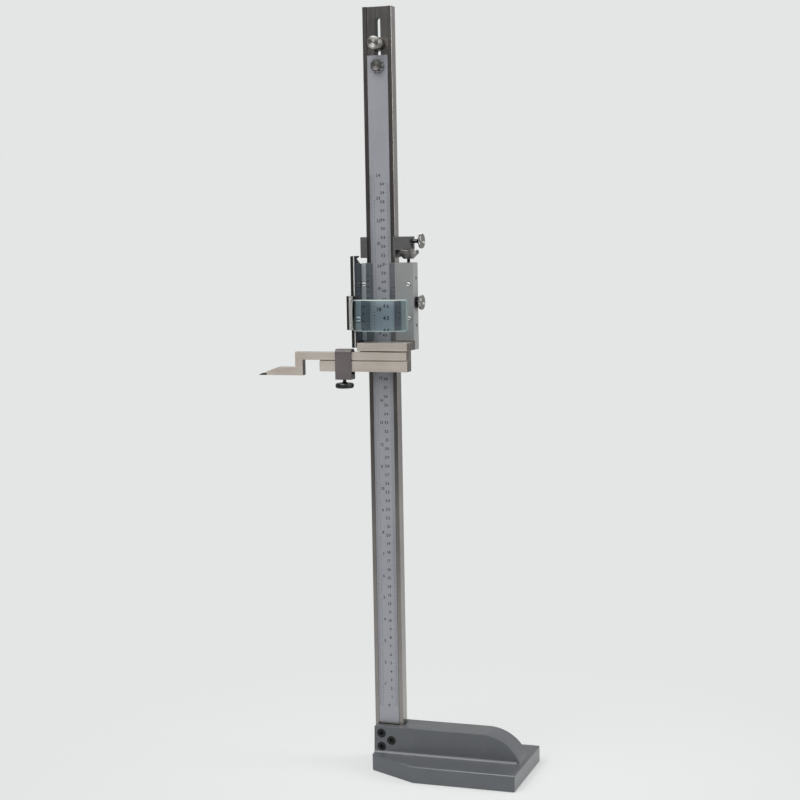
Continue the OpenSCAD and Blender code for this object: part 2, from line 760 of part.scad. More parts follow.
// Clip that grips the rail's front edge
module lens_carrier() {
  color("black") translate([0, 0, carrier_z]) difference() {
    block([-carrier_left, -carrier_face, 0], [-carrier_inner, -rail_front + carrier_grip, carrier_h]);
    block([-rail_x - slide_gap, -rail_front - slide_gap, -over],
      [-slider_left + slide_gap, 0, carrier_h + over]);
    for (z = [strip_screw_inset, carrier_h - strip_screw_inset])
      translate([-lens_left - strip_w / 2, 0, z])
        rod_y(strip_screw_d + 2 * seat_gap, -carrier_face - over, -carrier_face + strip_screw_len + seat_gap);
  }
}

// Bright strip in front of the carrier, beside the lens
module lens_strip() {
  color("silver") translate([0, 0, carrier_z]) difference() {
    block([-lens_left - strip_w, -carrier_face - strip_t, 0], [-lens_left, -carrier_face, carrier_h]);
    for (z = [strip_screw_inset, carrier_h - strip_screw_inset])
      translate([-lens_left - strip_w / 2, 0, z])
        rod_y(strip_screw_d + 2 * seat_gap, -2 * carrier_face, 0);
  }
}

// Two screws through the strip
module lens_screws() {
  color("dimgray") for (z = [strip_screw_inset, carrier_h - strip_screw_inset])
    translate([-lens_left - strip_w / 2, -carrier_face - strip_t, carrier_z + z]) rotate([90, 0, 0])
      plain_screw(strip_screw_d, strip_t + strip_screw_len, strip_head_d, strip_head_h);
}

// Magnifying lens: flat towards the scale, curved towards the reader
module lens() {
  mid = [lens_w / 2 - lens_left, lens_r - carrier_face - lens_edge - lens_sag, lens_z + lens_h / 2];
  color("paleturquoise") intersection() {
    translate([-lens_left, -carrier_face, lens_z]) rotate([90, 0, 0])
      linear_extrude(lens_sag + 2 * lens_edge) rounded_rect(lens_w, lens_h, lens_corner);
    translate(mid) sphere(lens_r, $fn = lens_facets);
  }
}

// Threaded rod that stands on the slider
module feed_screw() {
  color("darkgray") translate([feed_x, 0, feed_foot]) cylinder(d = feed_d, h = feed_top - feed_foot);
}

// Carriage around the column with the nut's bay and bearing
module feed_carriage() {
  window = col_x - carriage_lip;
  color("dimgray") difference() {
    block([-carriage_left, -carriage_y, carriage_z], [carriage_right, carriage_rear, carriage_top]);
    block([-slide_x, -slide_y, carriage_z - over], [slide_x, slide_y, carriage_top + over]);
    block([-window, -carriage_y - over, carriage_z - over], [window, 0, carriage_top + over]);
    block([bay_x, -carriage_y - over, carriage_z - over],
      [carriage_right + over, carriage_rear + over, bay_top]);
    translate([feed_x, 0, bay_top - over])
      cylinder(d = journal_d + 2 * run_gap, h = nut_top + journal_h - bay_top + small_break + over);
    translate([feed_x, 0, groove_z + groove_h / 2]) {
      rod_y(pin_d + 2 * seat_gap, pin_shoulder, carriage_rear + over);
      rod_y(pin_dog_d + 2 * seat_gap, 0, carriage_rear);
    }
    translate([0, 0, carriage_clamp_z]) {
      rod_x(clamp_stem_d + 2 * run_gap, 0, carriage_right + over);
      rod_x(shoe_d + 2 * seat_gap, 0, slide_x + shoe_l + slide_gap);
    }
  }
}

// Brass shoe that the carriage's clamp screw presses on the column
module carriage_shoe() {
  color("gold") translate([0, 0, carriage_clamp_z]) rod_x(shoe_d, slide_x, slide_x + shoe_l);
}

// Thumb screw that locks the carriage
module carriage_clamp_screw() {
  tip = slide_x + shoe_l + run_gap;
  color("silver") translate([tip, 0, carriage_clamp_z]) rotate([0, 90, 0])
    thumb_screw(clamp_stem_d, carriage_right + carriage_stem_l - tip, clamp_stem_d, clamp_neck_d,
      carriage_neck_l, clamp_head_d, clamp_head_t);
}

// Fine feed nut: cone, knurled disc and grooved journal, turned about the feed screw
module feed_nut() {
  bore = feed_d / 2 + run_gap;
  top = nut_top + journal_h;
  e = small_break;
  color("dimgray") translate([feed_x, 0, 0]) rotate_extrude() polygon([
    [bore, nut_foot - nut_cone_h], [nut_d / 4, nut_foot - nut_cone_h], [nut_d / 2 - e, nut_foot],
    [nut_d / 2, nut_foot + e], [nut_d / 2, nut_top - e], [nut_d / 2 - e, nut_top],
    [journal_d / 2, nut_top], [journal_d / 2, groove_z], [groove_d / 2, groove_z],
    [groove_d / 2, groove_z + groove_h], [journal_d / 2, groove_z + groove_h], [journal_d / 2, top],
    [bore, top]]);
}

// Dog point screw whose tip runs in the journal's groove
module feed_nut_pin() {
  color("black") translate([feed_x, 0, groove_z + groove_h / 2]) {
    rod_y(pin_d, pin_shoulder, carriage_rear - small_break);
    rod_y(pin_dog_d, pin_tip, pin_shoulder + small_break);
  }
}

// Scriber's side view, X to the right and Z up
module scriber_profile() {
  edge = scriber_foot + edge_t;
  polygon([[-scriber_tip_x, scriber_foot], [-scriber_leg_x + leg_w, scriber_foot],
    [-scriber_leg_x + leg_w, bar_top], [scriber_right, bar_top], [scriber_right, bar_top + shank],
    [-scriber_leg_x, bar_top + shank], [-scriber_leg_x, scriber_foot + foot_h],
    [-scriber_tip_x + tip_bevel, scriber_foot + foot_h], [-scriber_tip_x, edge]]);
}

// Scriber with its sides ground to the edge, before the carbide tip is set in
module scriber_blank() {
  bevel_x = tip_bevel - scriber_tip_x;
  intersection() {
    translate([0, -shank_back, 0]) rotate([90, 0, 0]) linear_extrude(shank) scriber_profile();
    translate([0, 0, scriber_foot - over]) linear_extrude(scriber_drop + shank + 2 * over)
      polygon([[-scriber_tip_x, -jaw_front], [scriber_right, -jaw_front], [scriber_right, -shank_back],
        [bevel_x, -shank_back], [-scriber_tip_x, -jaw_front + tip_w]]);
  }
}

// Seat of the carbide tip
module carbide_seat() {
  block([-scriber_tip_x - over, -jaw_front - over, scriber_foot - over],
    [-scriber_tip_x + carbide_len, 0, scriber_foot + carbide_h]);
}

// Offset scriber bar
module scriber() {
  color("tan") difference() {
    scriber_blank();
    carbide_seat();
  }
}

// Carbide tip
module scriber_tip() {
  color("black") intersection() {
    scriber_blank();
    carbide_seat();
  }
}

// Box around the jaw and the scriber
module scriber_clamp() {
  color("dimgray") difference() {
    block([-box_x - box_w / 2, -box_front, box_foot], [-box_x + box_w / 2, -box_back, box_top]);
    block([-box_x - box_w, -jaw_front - 2 * slide_gap, box_window_foot],
      [-box_x + box_w, -shank_back + 2 * slide_gap, box_window_top]);
    edge_wedge([-box_x - box_w / 2, -box_front], [-box_x + box_w / 2, -box_front], box_top, box_bevel);
    edge_wedge([-box_x + box_w / 2, -box_back], [-box_x - box_w / 2, -box_back], box_top, box_bevel);
    translate([-knob_x, -knob_y, box_foot - over])
      cylinder(d = box_stem_d + 2 * run_gap, h = box_floor + 2 * over);
  }
}

// Thumb screw below the box
module scriber_clamp_screw() {
  tip = bar_foot - run_gap;
  color("black") translate([-knob_x, -knob_y, tip]) rotate([180, 0, 0])
    thumb_screw(box_stem_d, tip - box_foot + box_stem_free - knob_neck_l, box_stem_d, knob_neck_d,
      knob_neck_l, box_knob_d, box_knob_t);
}

base();
column();
column_screws();
main_scale();
scale_block();
adjuster_stud();
adjuster_block();
adjuster_washer();
adjuster_nut();
adjuster_clamp_screw();
scale_clamp_screw();
slider_frame();
inch_vernier();
metric_vernier();
vernier_screws();
gib();
gib_screws();
slider_clamp_washer();
slider_clamp_screw();
measuring_jaw();
jaw_screws();
lens_bracket();
bracket_screws();
lens_carrier();
lens_strip();
lens_screws();
lens();
feed_screw();
feed_carriage();
carriage_shoe();
carriage_clamp_screw();
feed_nut();
feed_nut_pin();
scriber();
scriber_tip();
scriber_clamp();
scriber_clamp_screw();
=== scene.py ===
import json
import math
import bmesh
import bpy
from mathutils import Matrix, Vector


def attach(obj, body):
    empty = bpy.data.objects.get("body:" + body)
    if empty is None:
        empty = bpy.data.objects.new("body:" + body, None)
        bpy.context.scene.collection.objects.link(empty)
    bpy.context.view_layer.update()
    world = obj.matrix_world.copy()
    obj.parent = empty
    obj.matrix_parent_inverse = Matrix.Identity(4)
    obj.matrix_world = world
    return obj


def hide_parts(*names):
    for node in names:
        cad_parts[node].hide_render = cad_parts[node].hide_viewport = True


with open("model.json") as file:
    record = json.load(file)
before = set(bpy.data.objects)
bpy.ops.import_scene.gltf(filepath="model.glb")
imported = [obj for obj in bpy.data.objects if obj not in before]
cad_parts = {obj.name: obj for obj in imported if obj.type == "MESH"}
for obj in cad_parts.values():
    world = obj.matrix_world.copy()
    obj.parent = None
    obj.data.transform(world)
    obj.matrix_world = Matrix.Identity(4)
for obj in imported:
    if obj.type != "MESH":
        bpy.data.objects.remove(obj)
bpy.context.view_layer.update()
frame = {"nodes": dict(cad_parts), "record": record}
nodes = frame["nodes"]
record = frame["record"]
bodyOf = {node: body for body, members in record["behaviour"]["bodies"].items() for node in members}
scene = bpy.context.scene
scene.view_settings.view_transform = "Standard"
mm = 0.001
upright = Vector((0, 0, 1))
print("frame loaded,", len(nodes), "nodes")


def linear(code):  # sRGB hex to linear RGBA
    parts = [int(code[i:i + 2], 16) / 255 for i in (1, 3, 5)]
    return [c / 12.92 if c <= 0.04045 else ((c + 0.055) / 1.055) ** 2.4 for c in parts] + [1.0]


def addNode(tree, kind, sockets=None, **settings):
    node = tree.nodes.new(kind)
    for name, value in settings.items():
        setattr(node, name, value)
    for key, value in (sockets or {}).items():
        if isinstance(value, bpy.types.Node):
            value = value.outputs[0]  # a node stands for its first output
        if isinstance(value, bpy.types.NodeSocket):
            tree.links.new(value, node.inputs[key])
        else:
            node.inputs[key].default_value = value
    return node


def newMaterial(name):
    material = bpy.data.materials.new(name)
    material.use_nodes = True
    material.node_tree.nodes.clear()
    return material, material.node_tree


# How the grain is drawn: its detail, the size in mm of the broad patches added to it, and the spans of noise
# over which the shades and the roughness run
grainLook = {"detail": 3.0, "broken": 0.6, "patch": 35.0, "patchDetail": 2.0, "shades": (0.7, 1.3),
             "roughness": (0.3, 0.7), "coatRoughness": 0.2}


# One finish: two shades mixed by a stretched grain, the same grain in roughness and bump
def surfaceFinish(name, shades, metallic, roughness, grain, relief, gloss=0.5, coat=0.0):
    material, tree = newMaterial(name)
    look = grainLook
    place = addNode(tree, "ShaderNodeTexCoord").outputs["Object"]
    stretched = addNode(tree, "ShaderNodeMapping", {"Vector": place, "Scale": [1 / (g * mm) for g in grain]})
    streak = addNode(tree, "ShaderNodeTexNoise", {
        "Vector": stretched, "Scale": 1.0, "Detail": look["detail"], "Roughness": look["broken"]})
    broad = addNode(tree, "ShaderNodeTexNoise", {
        "Vector": place, "Scale": 1 / (look["patch"] * mm), "Detail": look["patchDetail"]})
    both = addNode(tree, "ShaderNodeMath", {0: streak, 1: broad}, operation="ADD")
    shade = addNode(tree, "ShaderNodeMapRange", {
        "Value": both, "From Min": look["shades"][0], "From Max": look["shades"][1]})
    colour = addNode(tree, "ShaderNodeMix", {
        0: shade, 6: linear(shades[0]), 7: linear(shades[1])}, data_type="RGBA")
    rough = addNode(tree, "ShaderNodeMapRange", {
        "Value": streak, "From Min": look["roughness"][0], "From Max": look["roughness"][1],
        "To Min": roughness[0], "To Max": roughness[1]})
    bump = addNode(tree, "ShaderNodeBump", {
        "Height": streak, "Strength": relief[0], "Distance": relief[1] * mm})
    shader = addNode(tree, "ShaderNodeBsdfPrincipled", {
        "Base Color": colour.outputs[2], "Metallic": metallic, "Roughness": rough, "Normal": bump,
        "Specular IOR Level": gloss, "Coat Weight": coat, "Coat Roughness": look["coatRoughness"]})
    addNode(tree, "ShaderNodeOutputMaterial", {"Surface": shader})
    return material


# Shades, metallic, roughness, size of a streak along x, y and z in mm, strength and depth in mm of the bump;
# then gloss and coat, where they aren't the usual ones
surfaceFinishes = {
    # satin enamel sprayed on cast iron: even grey with a faint orange peel and a soft sheen at low angles
    "greyEnamel": (("#4d4f53", "#55575b"), 0.0, (0.29, 0.36), (2.2, 2.2, 2.2), (0.05, 0.05), 0.5, 0.25),
    # ground tool steel with a dark satin face: fine upright streaks, lighter where it mirrors the floor
    "darkSatinSteel": (("#948f8d", "#a8a3a0"), 1.0, (0.16, 0.24), (0.7, 0.7, 45), (0.1, 0.05)),
    # the same steel on the column's front rails, drawn a little darker: painted shade
    "shadedRailSteel": (("#898583", "#9c9794"), 1.0, (0.16, 0.24), (0.7, 0.7, 45), (0.1, 0.05)),
    # the column's long edges: rubbed dull by the slider
    "rubbedSteel": (("#948f8d", "#a8a3a0"), 1.0, (0.32, 0.4), (0.7, 0.7, 45), (0.1, 0.05)),
    # satin chrome on the scale: a matt bluish silver without glare
    "satinChrome": (("#93949b", "#9d9da3"), 0.4, (0.44, 0.54), (0.8, 0.8, 1.4), (0.06, 0.03)),
    # milled and blasted steel plates: neutral grey, fine even texture
    "blastedSteel": (("#979798", "#a3a3a3"), 0.5, (0.34, 0.44), (1.1, 1.1, 1.1), (0.08, 0.04)),
    # flat face of the left vernier: the same steel drawn paler and bluish: painted light and reflection
    "litBlastedSteel": (("#bfc5cb", "#cdd3d9"), 0.4, (0.3, 0.4), (1.1, 1.1, 1.1), (0.08, 0.04)),
    # graduated bevel of the left vernier: darker bluish satin, so that it stands off from the flat face;
    # the darkness is painted shade and the blue a painted reflection
    "shadedBevelSteel": (("#6d737b", "#7b8189"), 0.7, (0.29, 0.38), (1.1, 1.1, 1.1), (0.06, 0.03)),
    # the right bevel, which faces the light: drawn warmer and lighter, painted light
    "litBevelSteel": (("#8b8a90", "#98979d"), 0.7, (0.29, 0.38), (1.1, 1.1, 1.1), (0.06, 0.03)),
    # surface ground steel: warm pale grey with long grinding lines, drawn coarse enough to show
    "groundSteel": (("#bfb4ab", "#d0c6bd"), 0.5, (0.32, 0.46), (60, 0.9, 0.9), (0.14, 0.05)),
    # ends of the same bars: ground across, so duller; drawn darker as painted shade
    "shadedCrossGroundSteel": (("#58534f", "#655f5b"), 0.5, (0.36, 0.5), (0.9, 60, 0.9), (0.14, 0.05)),
    # polished steel: pale, with soft reflections
    "brightSteel": (("#bebcb9", "#cac8c5"), 0.6, (0.29, 0.38), (0.6, 0.6, 0.6), (0.04, 0.02)),
    # polished screw heads: paler still, so that they stand out on the plates
    "screwSteel": (("#cfcfcd", "#dddddb"), 0.2, (0.29, 0.36), (0.6, 0.6, 0.6), (0.04, 0.02)),
    # heads of the left face screws: drawn white as painted light, to show in the shade of the lens rail
    "litScrewSteel": (("#f3f6f9", "#ffffff"), 0.0, (0.29, 0.36), (0.6, 0.6, 0.6), (0.04, 0.02)),
    # blued steel of the lens rail: dark, glossy enough to mirror what stands beside it
    "bluedSteel": (("#454a51", "#535961"), 0.8, (0.16, 0.26), (1.3, 1.3, 9), (0.06, 0.03)),
    # blackened steel: nearly black, glossy enough to catch light on its edges; it is also painted shade on
    # the column's slot walls and groove sides and on the lens rail's front face
    "blackenedSteelAndShade": (("#1d1d1e", "#272627"), 0.2, (0.3, 0.42), (1.3, 1.3, 1.3), (0.1, 0.05), 0.3),
    # browned steel of the fine feed carriage: dark grey, satin
    "brownedSteel": (("#595758", "#656363"), 0.45, (0.36, 0.48), (1.3, 1.3, 1.3), (0.1, 0.05)),
    # greyed steel of the lower knob's lobes: between bright and browned
    "greyedSteel": (("#7f7f80", "#8e8e8f"), 0.5, (0.32, 0.42), (0.6, 0.6, 0.6), (0.06, 0.03)),
    # phosphated steel of the scriber's clamp: dark warm grey, matt
    "phosphatedSteel": (("#605959", "#6d6666"), 0.35, (0.42, 0.55), (1.2, 1.2, 1.2), (0.1, 0.05)),
    # brass gib and shoe: warm yellow, drawn finish
    "drawnBrass": (("#a98a4b", "#bc9d5c"), 1.0, (0.3, 0.42), (0.8, 0.8, 20), (0.08, 0.04)),
    # ground carbide: dense dark grey, fine sparkle
    "groundCarbide": (("#4a4a4d", "#5b5b5e"), 0.8, (0.28, 0.4), (0.6, 0.6, 0.6), (0.08, 0.03)),
    # black filler rubbed into the engraved lines and figures; the same black is painted shade at screw heads
    "engravedAndShadeBlack": (("#26262a", "#323236"), 0.0, (0.5, 0.62), (0.7, 0.7, 0.7), (0.05, 0.02)),
}
finishes = {name: surfaceFinish(name, *values) for name, values in surfaceFinishes.items()}
turningLook = {"marksRound": 3.0, "detail": 2.0, "shades": (0.3, 0.7), "quarterTurn": 0.25}


# Turned metal: rings about the axis from the UV map (u runs round, v along the profile in mm), and a
# highlight that fans out across the rings, as on a lathe-faced screw head
def turnedFinish(name, shades, roughness, ring, spread):
    material, tree = newMaterial(name)
    look = turningLook
    place = addNode(tree, "ShaderNodeUVMap", uv_map="turning")
    rings = addNode(tree, "ShaderNodeMapping", {
        "Vector": place, "Scale": (look["marksRound"], 1 / ring, 1.0)})
    marks = addNode(tree, "ShaderNodeTexNoise", {"Vector": rings, "Scale": 1.0, "Detail": look["detail"]})
    shade = addNode(tree, "ShaderNodeMapRange", {
        "Value": marks, "From Min": look["shades"][0], "From Max": look["shades"][1]})
    colour = addNode(tree, "ShaderNodeMix", {
        0: shade, 6: linear(shades[0]), 7: linear(shades[1])}, data_type="RGBA")
    rough = addNode(tree, "ShaderNodeMapRange", {
        "Value": marks, "To Min": roughness[0], "To Max": roughness[1]})
    along = addNode(tree, "ShaderNodeTangent", direction_type="UV_MAP", uv_map="turning")
    shader = addNode(tree, "ShaderNodeBsdfPrincipled", {
        "Base Color": colour.outputs[2], "Metallic": 1.0, "Roughness": rough, "Anisotropic": spread,
        "Anisotropic Rotation": look["quarterTurn"], "Tangent": along})
    addNode(tree, "ShaderNodeOutputMaterial", {"Surface": shader})
    return material


# Shades, roughness, spacing of the rings in mm, how far the highlight fans out
turnedFinishes = {
    # lathe-turned thumb screws: silvery, with an hourglass highlight on the end face
    "turnedSteel": (("#a4a19d", "#c2bfbb"), (0.29, 0.38), 0.22, 0.9),
    # turned steel drawn a duller grey as painted shade: the side clamp screws, and a stem
    "turnedGreySteel": (("#8b8986", "#a19e9b"), (0.29, 0.38), 0.22, 0.8),
    # turned and lightly browned steel of the feed nut and the lower knob: darker rings
    "turnedBrownedSteel": (("#7c7a78", "#918e8b"), (0.29, 0.38), 0.25, 0.6),
    # turned and blackened steel: glints along the rings on near black; on thumb screw stems, painted shade
    "turnedBlackSteel": (("#404042", "#525253"), (0.29, 0.36), 0.25, 0.5),
}
for name, values in turnedFinishes.items():
    finishes[name] = turnedFinish(name, *values)
glassLook = {"ior": 1.5, "polished": 0.02, "grit": 0.9, "ground": (0.4, 0.7), "rimClear": 0.35}  # grit in mm


def clearGlass(name, colour):
    material, tree = newMaterial(name)
    shader = addNode(tree, "ShaderNodeBsdfPrincipled", {
        "Base Color": linear(colour), "IOR": glassLook["ior"], "Roughness": glassLook["polished"],
        "Transmission Weight": 1.0})
    addNode(tree, "ShaderNodeOutputMaterial", {"Surface": shader})
    return material


def groundGlass(name, colour):
    material, tree = newMaterial(name)
    place = addNode(tree, "ShaderNodeTexCoord").outputs["Object"]
    grit = addNode(tree, "ShaderNodeTexNoise", {
        "Vector": place, "Scale": 1 / (glassLook["grit"] * mm), "Detail": grainLook["detail"]})
    rough = addNode(tree, "ShaderNodeMapRange", {
        "Value": grit, "To Min": glassLook["ground"][0], "To Max": glassLook["ground"][1]})
    shader = addNode(tree, "ShaderNodeBsdfPrincipled", {
        "Base Color": linear(colour), "IOR": glassLook["ior"], "Roughness": rough,
        "Transmission Weight": glassLook["rimClear"]})
    addNode(tree, "ShaderNodeOutputMaterial", {"Surface": shader})
    return material


# optical glass: clear, faintly sea green
finishes["opticalGlass"] = clearGlass("opticalGlass", "#e0f4fa")
# its rim is ground and glows pale
finishes["groundGlassRim"] = groundGlass("groundGlassRim", "#cfdcd7")
# the free end of the rim: drawn a darker green as painted shade
finishes["shadedGlassRim"] = groundGlass("shadedGlassRim", "#7f8f8b")
print("finishes made:", len(finishes))


def keep(name, mesh, finish, body, *replaced):  # links a finished mesh as a piece of the object
    piece = bpy.data.objects.new(name, mesh)
    scene.collection.objects.link(piece)
    if not mesh.materials:
        mesh.materials.append(finishes[finish])
    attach(piece, body)
    if replaced:
        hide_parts(*replaced)


def meshFrom(name, bm, *wanted):  # ends a bmesh as a mesh with these finishes
    mesh = bpy.data.meshes.new(name)
    bm.to_mesh(mesh)
    bm.free()
    for finish in filter(None, wanted):
        mesh.materials.append(finishes[finish])
    return mesh


def baked(holder):  # the mesh that an object shows once its modifiers have run
    graph = bpy.context.evaluated_depsgraph_get()
    mesh = bpy.data.meshes.new_from_object(holder.evaluated_get(graph), depsgraph=graph)
    holder.modifiers.clear()
    bpy.data.objects.remove(holder)
    return mesh


def smooth(mesh, fold):  # soft shading; edges that fold by more degrees than this stay sharp
    mesh.shade_smooth()
    mesh.set_sharp_from_angle(angle=math.radians(fold))
    holder = bpy.data.objects.new("shading", mesh)
    scene.collection.objects.link(holder)
    weights = holder.modifiers.new("weights", "WEIGHTED_NORMAL")
    weights.keep_sharp = True
    weights.use_face_influence = True
    return baked(holder)


# Finish, edge radius in mm, the shortest edge in mm that gets it and the fold that stays sharp;
# parts: other finishes for the faces that a test picks by middle (metres) and direction;
# worn and lit edges: finish, radius in mm and test of edges that are rubbed dull on the column and
# drawn bright as a painted highlight on the lens rail
usualDress = {"radius": 0.4, "shortest": 2.2, "fold": 32, "parts": [], "worn": (None, 0, lambda p: False)}
dressed = {
    "base": {"finish": "greyEnamel", "radius": 1.2, "shortest": 2.5},
    "column": {
        "finish": "darkSatinSteel", "radius": 0.5, "shortest": 100,
        # painted shade: the slot's walls and the groove's sides are drawn black, the front rails darker
        "parts": [  # walls of the slot at the top, sides of the groove, front rails
            ("blackenedSteelAndShade", lambda p, n: abs(p.x) < 3.6 * mm and 0.785 < p.z < 0.865 and abs(n.y) < 0.5),
            ("blackenedSteelAndShade", lambda p, n: abs(p.x) < 14 * mm and abs(n.x) > 0.9),
            ("shadedRailSteel", lambda p, n: n.y < -0.9 and abs(p.x) > 12 * mm)],
        "worn": ("rubbedSteel", 0.5, lambda p: abs(p.x) > 15 * mm)},
    "slider_frame": {"finish": "blastedSteel", "radius": 0.35, "shortest": 2.4},
    # left vernier: its bevel drawn darker and bluish, its flat face paler: painted shade, light and
    # reflection
    "inch_vernier": {"finish": "blastedSteel", "radius": 0.12, "shortest": 4.0, "fold": 8,
                     "parts": [("shadedBevelSteel", lambda p, n: n.y < -0.5 and n.x > 0.2),
                               ("litBlastedSteel", lambda p, n: n.y < -0.98)]},
    # the right vernier's bevel is drawn lighter and warmer: painted light
    "metric_vernier": {"finish": "blastedSteel", "radius": 0.12, "shortest": 4.0, "fold": 8,
                       "parts": [("litBevelSteel", lambda p, n: n.y < -0.5 and n.x < -0.2)]},
    # the bars' free ends get a darker finish: painted shade
    "measuring_jaw": {"finish": "groundSteel", "radius": 0.5, "shortest": 2.4,
                      "parts": [("shadedCrossGroundSteel", lambda p, n: n.x > 0.7)]},
    "scriber": {"finish": "groundSteel", "shortest": 3.0,
                "parts": [("shadedCrossGroundSteel", lambda p, n: n.x > 0.7)]},
    "scriber_clamp": {"finish": "phosphatedSteel", "radius": 0.6, "shortest": 2.0},
    "feed_carriage": {"finish": "brownedSteel", "radius": 0.5},
    # lens rail: its front face drawn near black as painted shade, its inner front edges bright as a painted
    # highlight
    "lens_bracket": {"finish": "bluedSteel", "shortest": 1.4,
                     "parts": [("blackenedSteelAndShade", lambda p, n: n.y < -0.9)],
                     "worn": ("brightSteel", 0.9, lambda p: p.y < -33 * mm and p.x > -23 * mm)},
    "lens_carrier": {"finish": "blackenedSteelAndShade"},
    "lens_strip": {"finish": "brightSteel", "radius": 0.3},
    "adjuster_block": {"finish": "brownedSteel"},
    "scale_block": {"finish": "brownedSteel"},
}
brokenFrom = math.radians(30)  # edges that fold by more than this are broken


def roundedMesh(name, node, v):  # the CAD solid with its long edges broken
    bm = bmesh.new()
    bm.from_mesh(nodes[node].data)
    # the loose triangles become whole faces again
    bmesh.ops.remove_doubles(bm, verts=bm.verts, dist=0.002 * mm)
    bmesh.ops.dissolve_limit(bm, angle_limit=math.radians(0.5), verts=bm.verts, edges=bm.edges)
    parts = v["parts"]
    edgeWearAndLightFinish, edgeWearAndLightRadius, isWornAndLitEdge = v["worn"]
    for face in bm.faces:
        hits = [i for i, (finish, test) in enumerate(parts) if test(face.calc_center_median(), face.normal)]
        face.material_index = hits[0] + 1 if hits else 0
    # rubbed edges and painted edge highlights come first, in more steps and with their own finish
    for radius, segments, index in ((edgeWearAndLightRadius, 4, len(parts) + 1), (v["radius"], 2, -1)):
        edges = [e for e in bm.edges if e.is_manifold and e.calc_length() > v["shortest"] * mm
                 and e.calc_face_angle(0) > brokenFrom
                 and (index < 0 or isWornAndLitEdge((e.verts[0].co + e.verts[1].co) / 2))]
        bmesh.ops.bevel(bm, geom=edges, offset=radius * mm, segments=segments, profile=0.5, affect="EDGES",
                        clamp_overlap=False, material=index, face_strength_mode="ALL")
    bmesh.ops.triangulate(bm, faces=[f for f in bm.faces if len(f.verts) > 4])
    mesh = meshFrom(name, bm, v["finish"], *[finish for finish, test in parts], edgeWearAndLightFinish)
    if "custom_normal" in mesh.attributes:
        mesh.attributes.remove(mesh.attributes["custom_normal"])  # the import's normals no longer fit
    return smooth(mesh, v["fold"])


for node, values in dressed.items():
    name = node + "Rounded"
    keep(name, roundedMesh(name, node, usualDress | values), values["finish"], bodyOf[node], node)
print("edges broken on", len(dressed), "solids")

plain = {"main_scale": "satinChrome", "column_screws": "blackenedSteelAndShade", "adjuster_washer": "brightSteel",
         "gib": "drawnBrass", "gib_screws": "blackenedSteelAndShade", "slider_clamp_washer": "blackenedSteelAndShade",
         "jaw_screws": "blackenedSteelAndShade", "carriage_shoe": "drawnBrass", "feed_nut_pin": "blackenedSteelAndShade",
         "scriber_tip": "groundCarbide"}
for node, finish in plain.items():  # these solids already have their real shape
    nodes[node].data.materials.clear()
    nodes[node].data.materials.append(finishes[finish])


# Spins (height, radius) pairs in mm about an axis; the first bands, as many as stem says, get the stem's
# darker finish: painted shade under the head
def turned(name, profile, place, axis, finish, shadedStemFinish=None, stem=0, steps=96, fold=28):
    bm = bmesh.new()
    lay = bm.loops.layers.uv.new("turning")
    angles = [2 * math.pi * i / steps for i in range(steps)]
    rings, along = [], [0.0]
    for (height, radius), (nextHeight, nextRadius) in zip(profile, profile[1:] + profile[:1]):
        along.append(along[-1] + math.hypot(nextHeight - height, nextRadius - radius))
        ring = angles if radius else angles[:1]  # a point on the axis is one vertex
        rings.append([bm.verts.new((radius * math.cos(a), radius * math.sin(a), height)) for a in ring])
    if profile[0][1] > 0:
        rings.append(rings[0])  # a bored piece closes on itself
    for k, (low, high) in enumerate(zip(rings, rings[1:])):
        for i in range(steps):
            j = (i + 1) % steps
            corners = {}  # each corner's place on the UV map
            for ring, at, u, level in ((low, i, i, k), (low, j, i + 1, k),
                                       (high, j, i + 1, k + 1), (high, i, i, k + 1)):
                corners.setdefault(ring[at % len(ring)], (u / steps, along[level]))
            face = bm.faces.new(list(corners))
            face.material_index = int(k < stem)
            for loop in face.loops:
                loop[lay].uv = corners[loop.vert]
    bmesh.ops.recalc_face_normals(bm, faces=bm.faces)
    turn = upright.rotation_difference(Vector(axis)).to_matrix().to_4x4()
    bm.transform(Matrix.Translation(Vector(place) * mm) @ turn @ Matrix.Scale(mm, 4))
    return smooth(meshFrom(name, bm, finish, shadedStemFinish), fold)


def arc(height, radius, size, start, stop, steps=4):  # rounded corner of a turned profile
    angles = [math.radians(start + (stop - start) * i / steps) for i in range(steps + 1)]
    return [(height + size * math.sin(a), radius + size * math.cos(a)) for a in angles]


def thumbProfile(v):  # stem, neck and dished head with rounded rims
    neckZ = v["stemLength"]
    headZ = neckZ + v["neckLength"]
    endZ = headZ + v["headThick"]
    stem, edge = v["stem"] / 2, v["edge"]
    chamfer, lip, dishShare, steps = 0.4, 0.3, 0.36, 8
    rim = v["headWide"] / 2 - v["inset"] - edge
    dish = v["headWide"] * dishShare
    shank = [(0, 0), (0, stem - chamfer), (chamfer, stem), (neckZ, stem)]
    neck = [(neckZ, v["neckFrom"] / 2), (headZ, v["neckTo"] / 2)]
    head = arc(headZ + edge, rim, edge, -90, 0) + arc(endZ - edge, rim, edge, 0, 90) + [(endZ, dish + lip)]
    hollow = [(endZ - v["dish"] * math.sin(math.pi / 2 * i / steps), dish * (1 - i / steps))
              for i in range(steps + 1)]
    return shank + neck + head + hollow
